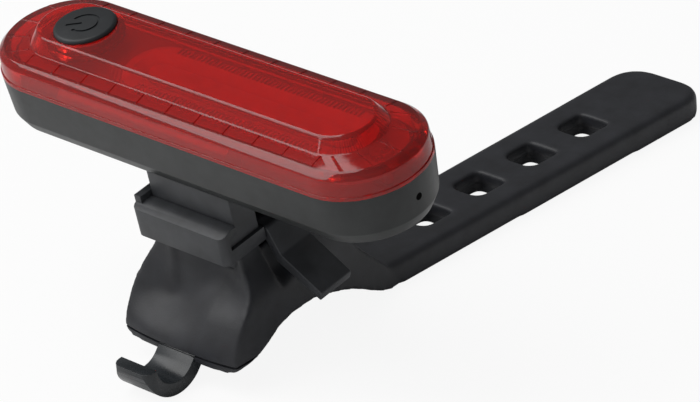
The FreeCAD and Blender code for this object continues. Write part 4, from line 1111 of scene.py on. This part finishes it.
foot_pocket = slab((-leg_x, -leg_y, FOOT_BOTTOM), (leg_x, leg_y, BRACKET_BOTTOM + 1))
hook_pocket = prism(hook_outline(), "X", -hook_half, hook_half)
strap_mesh = carved(
    strap_mesh, "DIFFERENCE", leaned(above_pad), arch, leaned(channel), leaned(pressed_room),
    leaned(foot_pocket), hook_pocket, front_corners, *holes,
)
print("strap faces after the cuts:", len(strap_mesh.polygons))

# %% Soft skin of the strap, and the groove over its front lip
VOXEL = 0.33
SOFTENING = 20
GROOVE_Z = (4.75, 5.15)
GROOVE_IN = 0.45
GROOVE_END_Y = -6.0

strap_mesh = baked(
    strap_mesh,
    ("REMESH", {"mode": "VOXEL", "voxel_size": VOXEL, "adaptivity": 0.0}),
    ("SMOOTH", {"factor": 0.5, "iterations": SOFTENING}),
)
core = [point * (1 - GROOVE_IN / point.length) for point in pad_section(sum(GROOVE_Z) / 2)]
around = to_mesh(slab((-PAST_FRONT, -PAST_FRONT, GROOVE_Z[0]), (PAST_FRONT, GROOVE_END_Y, GROOVE_Z[1])))
around = carved(around, "DIFFERENCE", prism(core, "Z", GROOVE_Z[0] - 1, GROOVE_Z[1] + 1))
strap_mesh = carved(strap_mesh, "DIFFERENCE", around)
place_piece("rubber_strap", strap_mesh, STRAP_FRAME, "mount", "strap_rubber", "strap", smooth=50)

# %% [markdown]
# ## Hook
#
# The hook is one strip of hard plastic, bent like a J and moulded into the pad's front edge. A strap
# hole is pulled over it. Its section is drawn from the side and pulled across, the tip's corners are
# rounded in plan, and a bevel softens every edge.

# %% Hook
HOOK_CORNER = 1.6

hook_mesh = to_mesh(prism(hook_outline(), "X", -hook_half, hook_half))
front = HOOK_CENTRE[0] - HOOK_RADII[1]
plan = rounded([(-hook_half, front, HOOK_CORNER), (hook_half, front, HOOK_CORNER),
                (hook_half, 0, 0), (-hook_half, 0, 0)])
hook_mesh = carved(hook_mesh, "INTERSECT", prism(plan, "Z", -1, PAST_FRONT))
place_piece("strap_hook", hook_mesh, STRAP_FRAME, "mount", "hook_plastic", "hook", edge=0.3)

# %% [markdown]
# ## Floor, world and light
#
# The photograph has a plain white background. The world is white where the camera looks straight at
# it. For everything else it is dim, and brightest towards the front left, so that the black parts
# and the clear lens catch a soft gleam on one side and nothing washes out. One large soft lamp,
# above and to the front left, gives the faces their different tones. For the camera the floor
# mostly glows, as white as the background, and the rest of it takes a faint shadow.

# %% World
BRIGHT_FROM = Vector((-0.35, -0.90, 0.25)).normalized()
WORLD_RANGE = (0.18, 0.52)
WORLD_TURN = (-0.15, 1.0)

world = bpy.data.worlds.new("Studio")
bpy.context.scene.world = world
world.use_nodes = True
tree = world.node_tree
strength = ranged(tree, level_along(tree, "Generated", BRIGHT_FROM), WORLD_TURN, WORLD_RANGE)
seen = tree.nodes.new("ShaderNodeLightPath")
brighter = tree.nodes.new("ShaderNodeMath")
brighter.operation = "MAXIMUM"
tree.links.new(strength, brighter.inputs[0])
tree.links.new(seen.outputs["Is Camera Ray"], brighter.inputs[1])
back = tree.nodes["Background"]
back.inputs["Color"].default_value = (1, 1, 1, 1)
tree.links.new(brighter.outputs[0], back.inputs["Strength"])
print("world ready")

# %% Soft lamp
LAMP_PLACE = Vector((-0.36, -0.32, 0.68))
LAMP_TARGET = Vector((0.0, 0.0, 0.03))
LAMP_SIZE = 0.8
LAMP_POWER = 5.5

lamp_data = bpy.data.lights.new("Softbox", "AREA")
lamp_data.shape = "SQUARE"
lamp_data.size = LAMP_SIZE
lamp_data.energy = LAMP_POWER
lamp = bpy.data.objects.new("Softbox", lamp_data)
bpy.context.scene.collection.objects.link(lamp)
lamp.location = LAMP_PLACE
lamp.rotation_euler = (LAMP_PLACE - LAMP_TARGET).to_track_quat("Z", "Y").to_euler()
print("softbox power:", LAMP_POWER, "W")

# %% Floor
FLOOR_SIZE = 6.0
FLOOR_GLOW = 0.9

bm = bmesh.new()
bmesh.ops.create_grid(bm, x_segments=1, y_segments=1, size=FLOOR_SIZE / 2)
mesh = bpy.data.meshes.new("Floor")
bm.to_mesh(mesh)
bm.free()
floor = bpy.data.objects.new("Floor", mesh)
bpy.context.scene.collection.objects.link(floor)
floor_finish, tree, shader = new_finish("floor", (0.9, 0.9, 0.9), 0.9)
glow = tree.nodes.new("ShaderNodeEmission")
glow.inputs["Color"].default_value = (1, 1, 1, 1)
path = tree.nodes.new("ShaderNodeLightPath")
share = tree.nodes.new("ShaderNodeMath")
share.operation = "MULTIPLY"
share.inputs[1].default_value = FLOOR_GLOW
mix = tree.nodes.new("ShaderNodeMixShader")
tree.links.new(path.outputs["Is Camera Ray"], share.inputs[0])
tree.links.new(share.outputs[0], mix.inputs["Fac"])
tree.links.new(shader.outputs["BSDF"], mix.inputs[1])
tree.links.new(glow.outputs["Emission"], mix.inputs[2])
tree.links.new(mix.outputs["Shader"], tree.nodes["Material Output"].inputs["Surface"])
mesh.materials.append(floor_finish)
print("floor ready")

# %% Plain colour view
bpy.context.scene.view_settings.view_transform = "Standard"
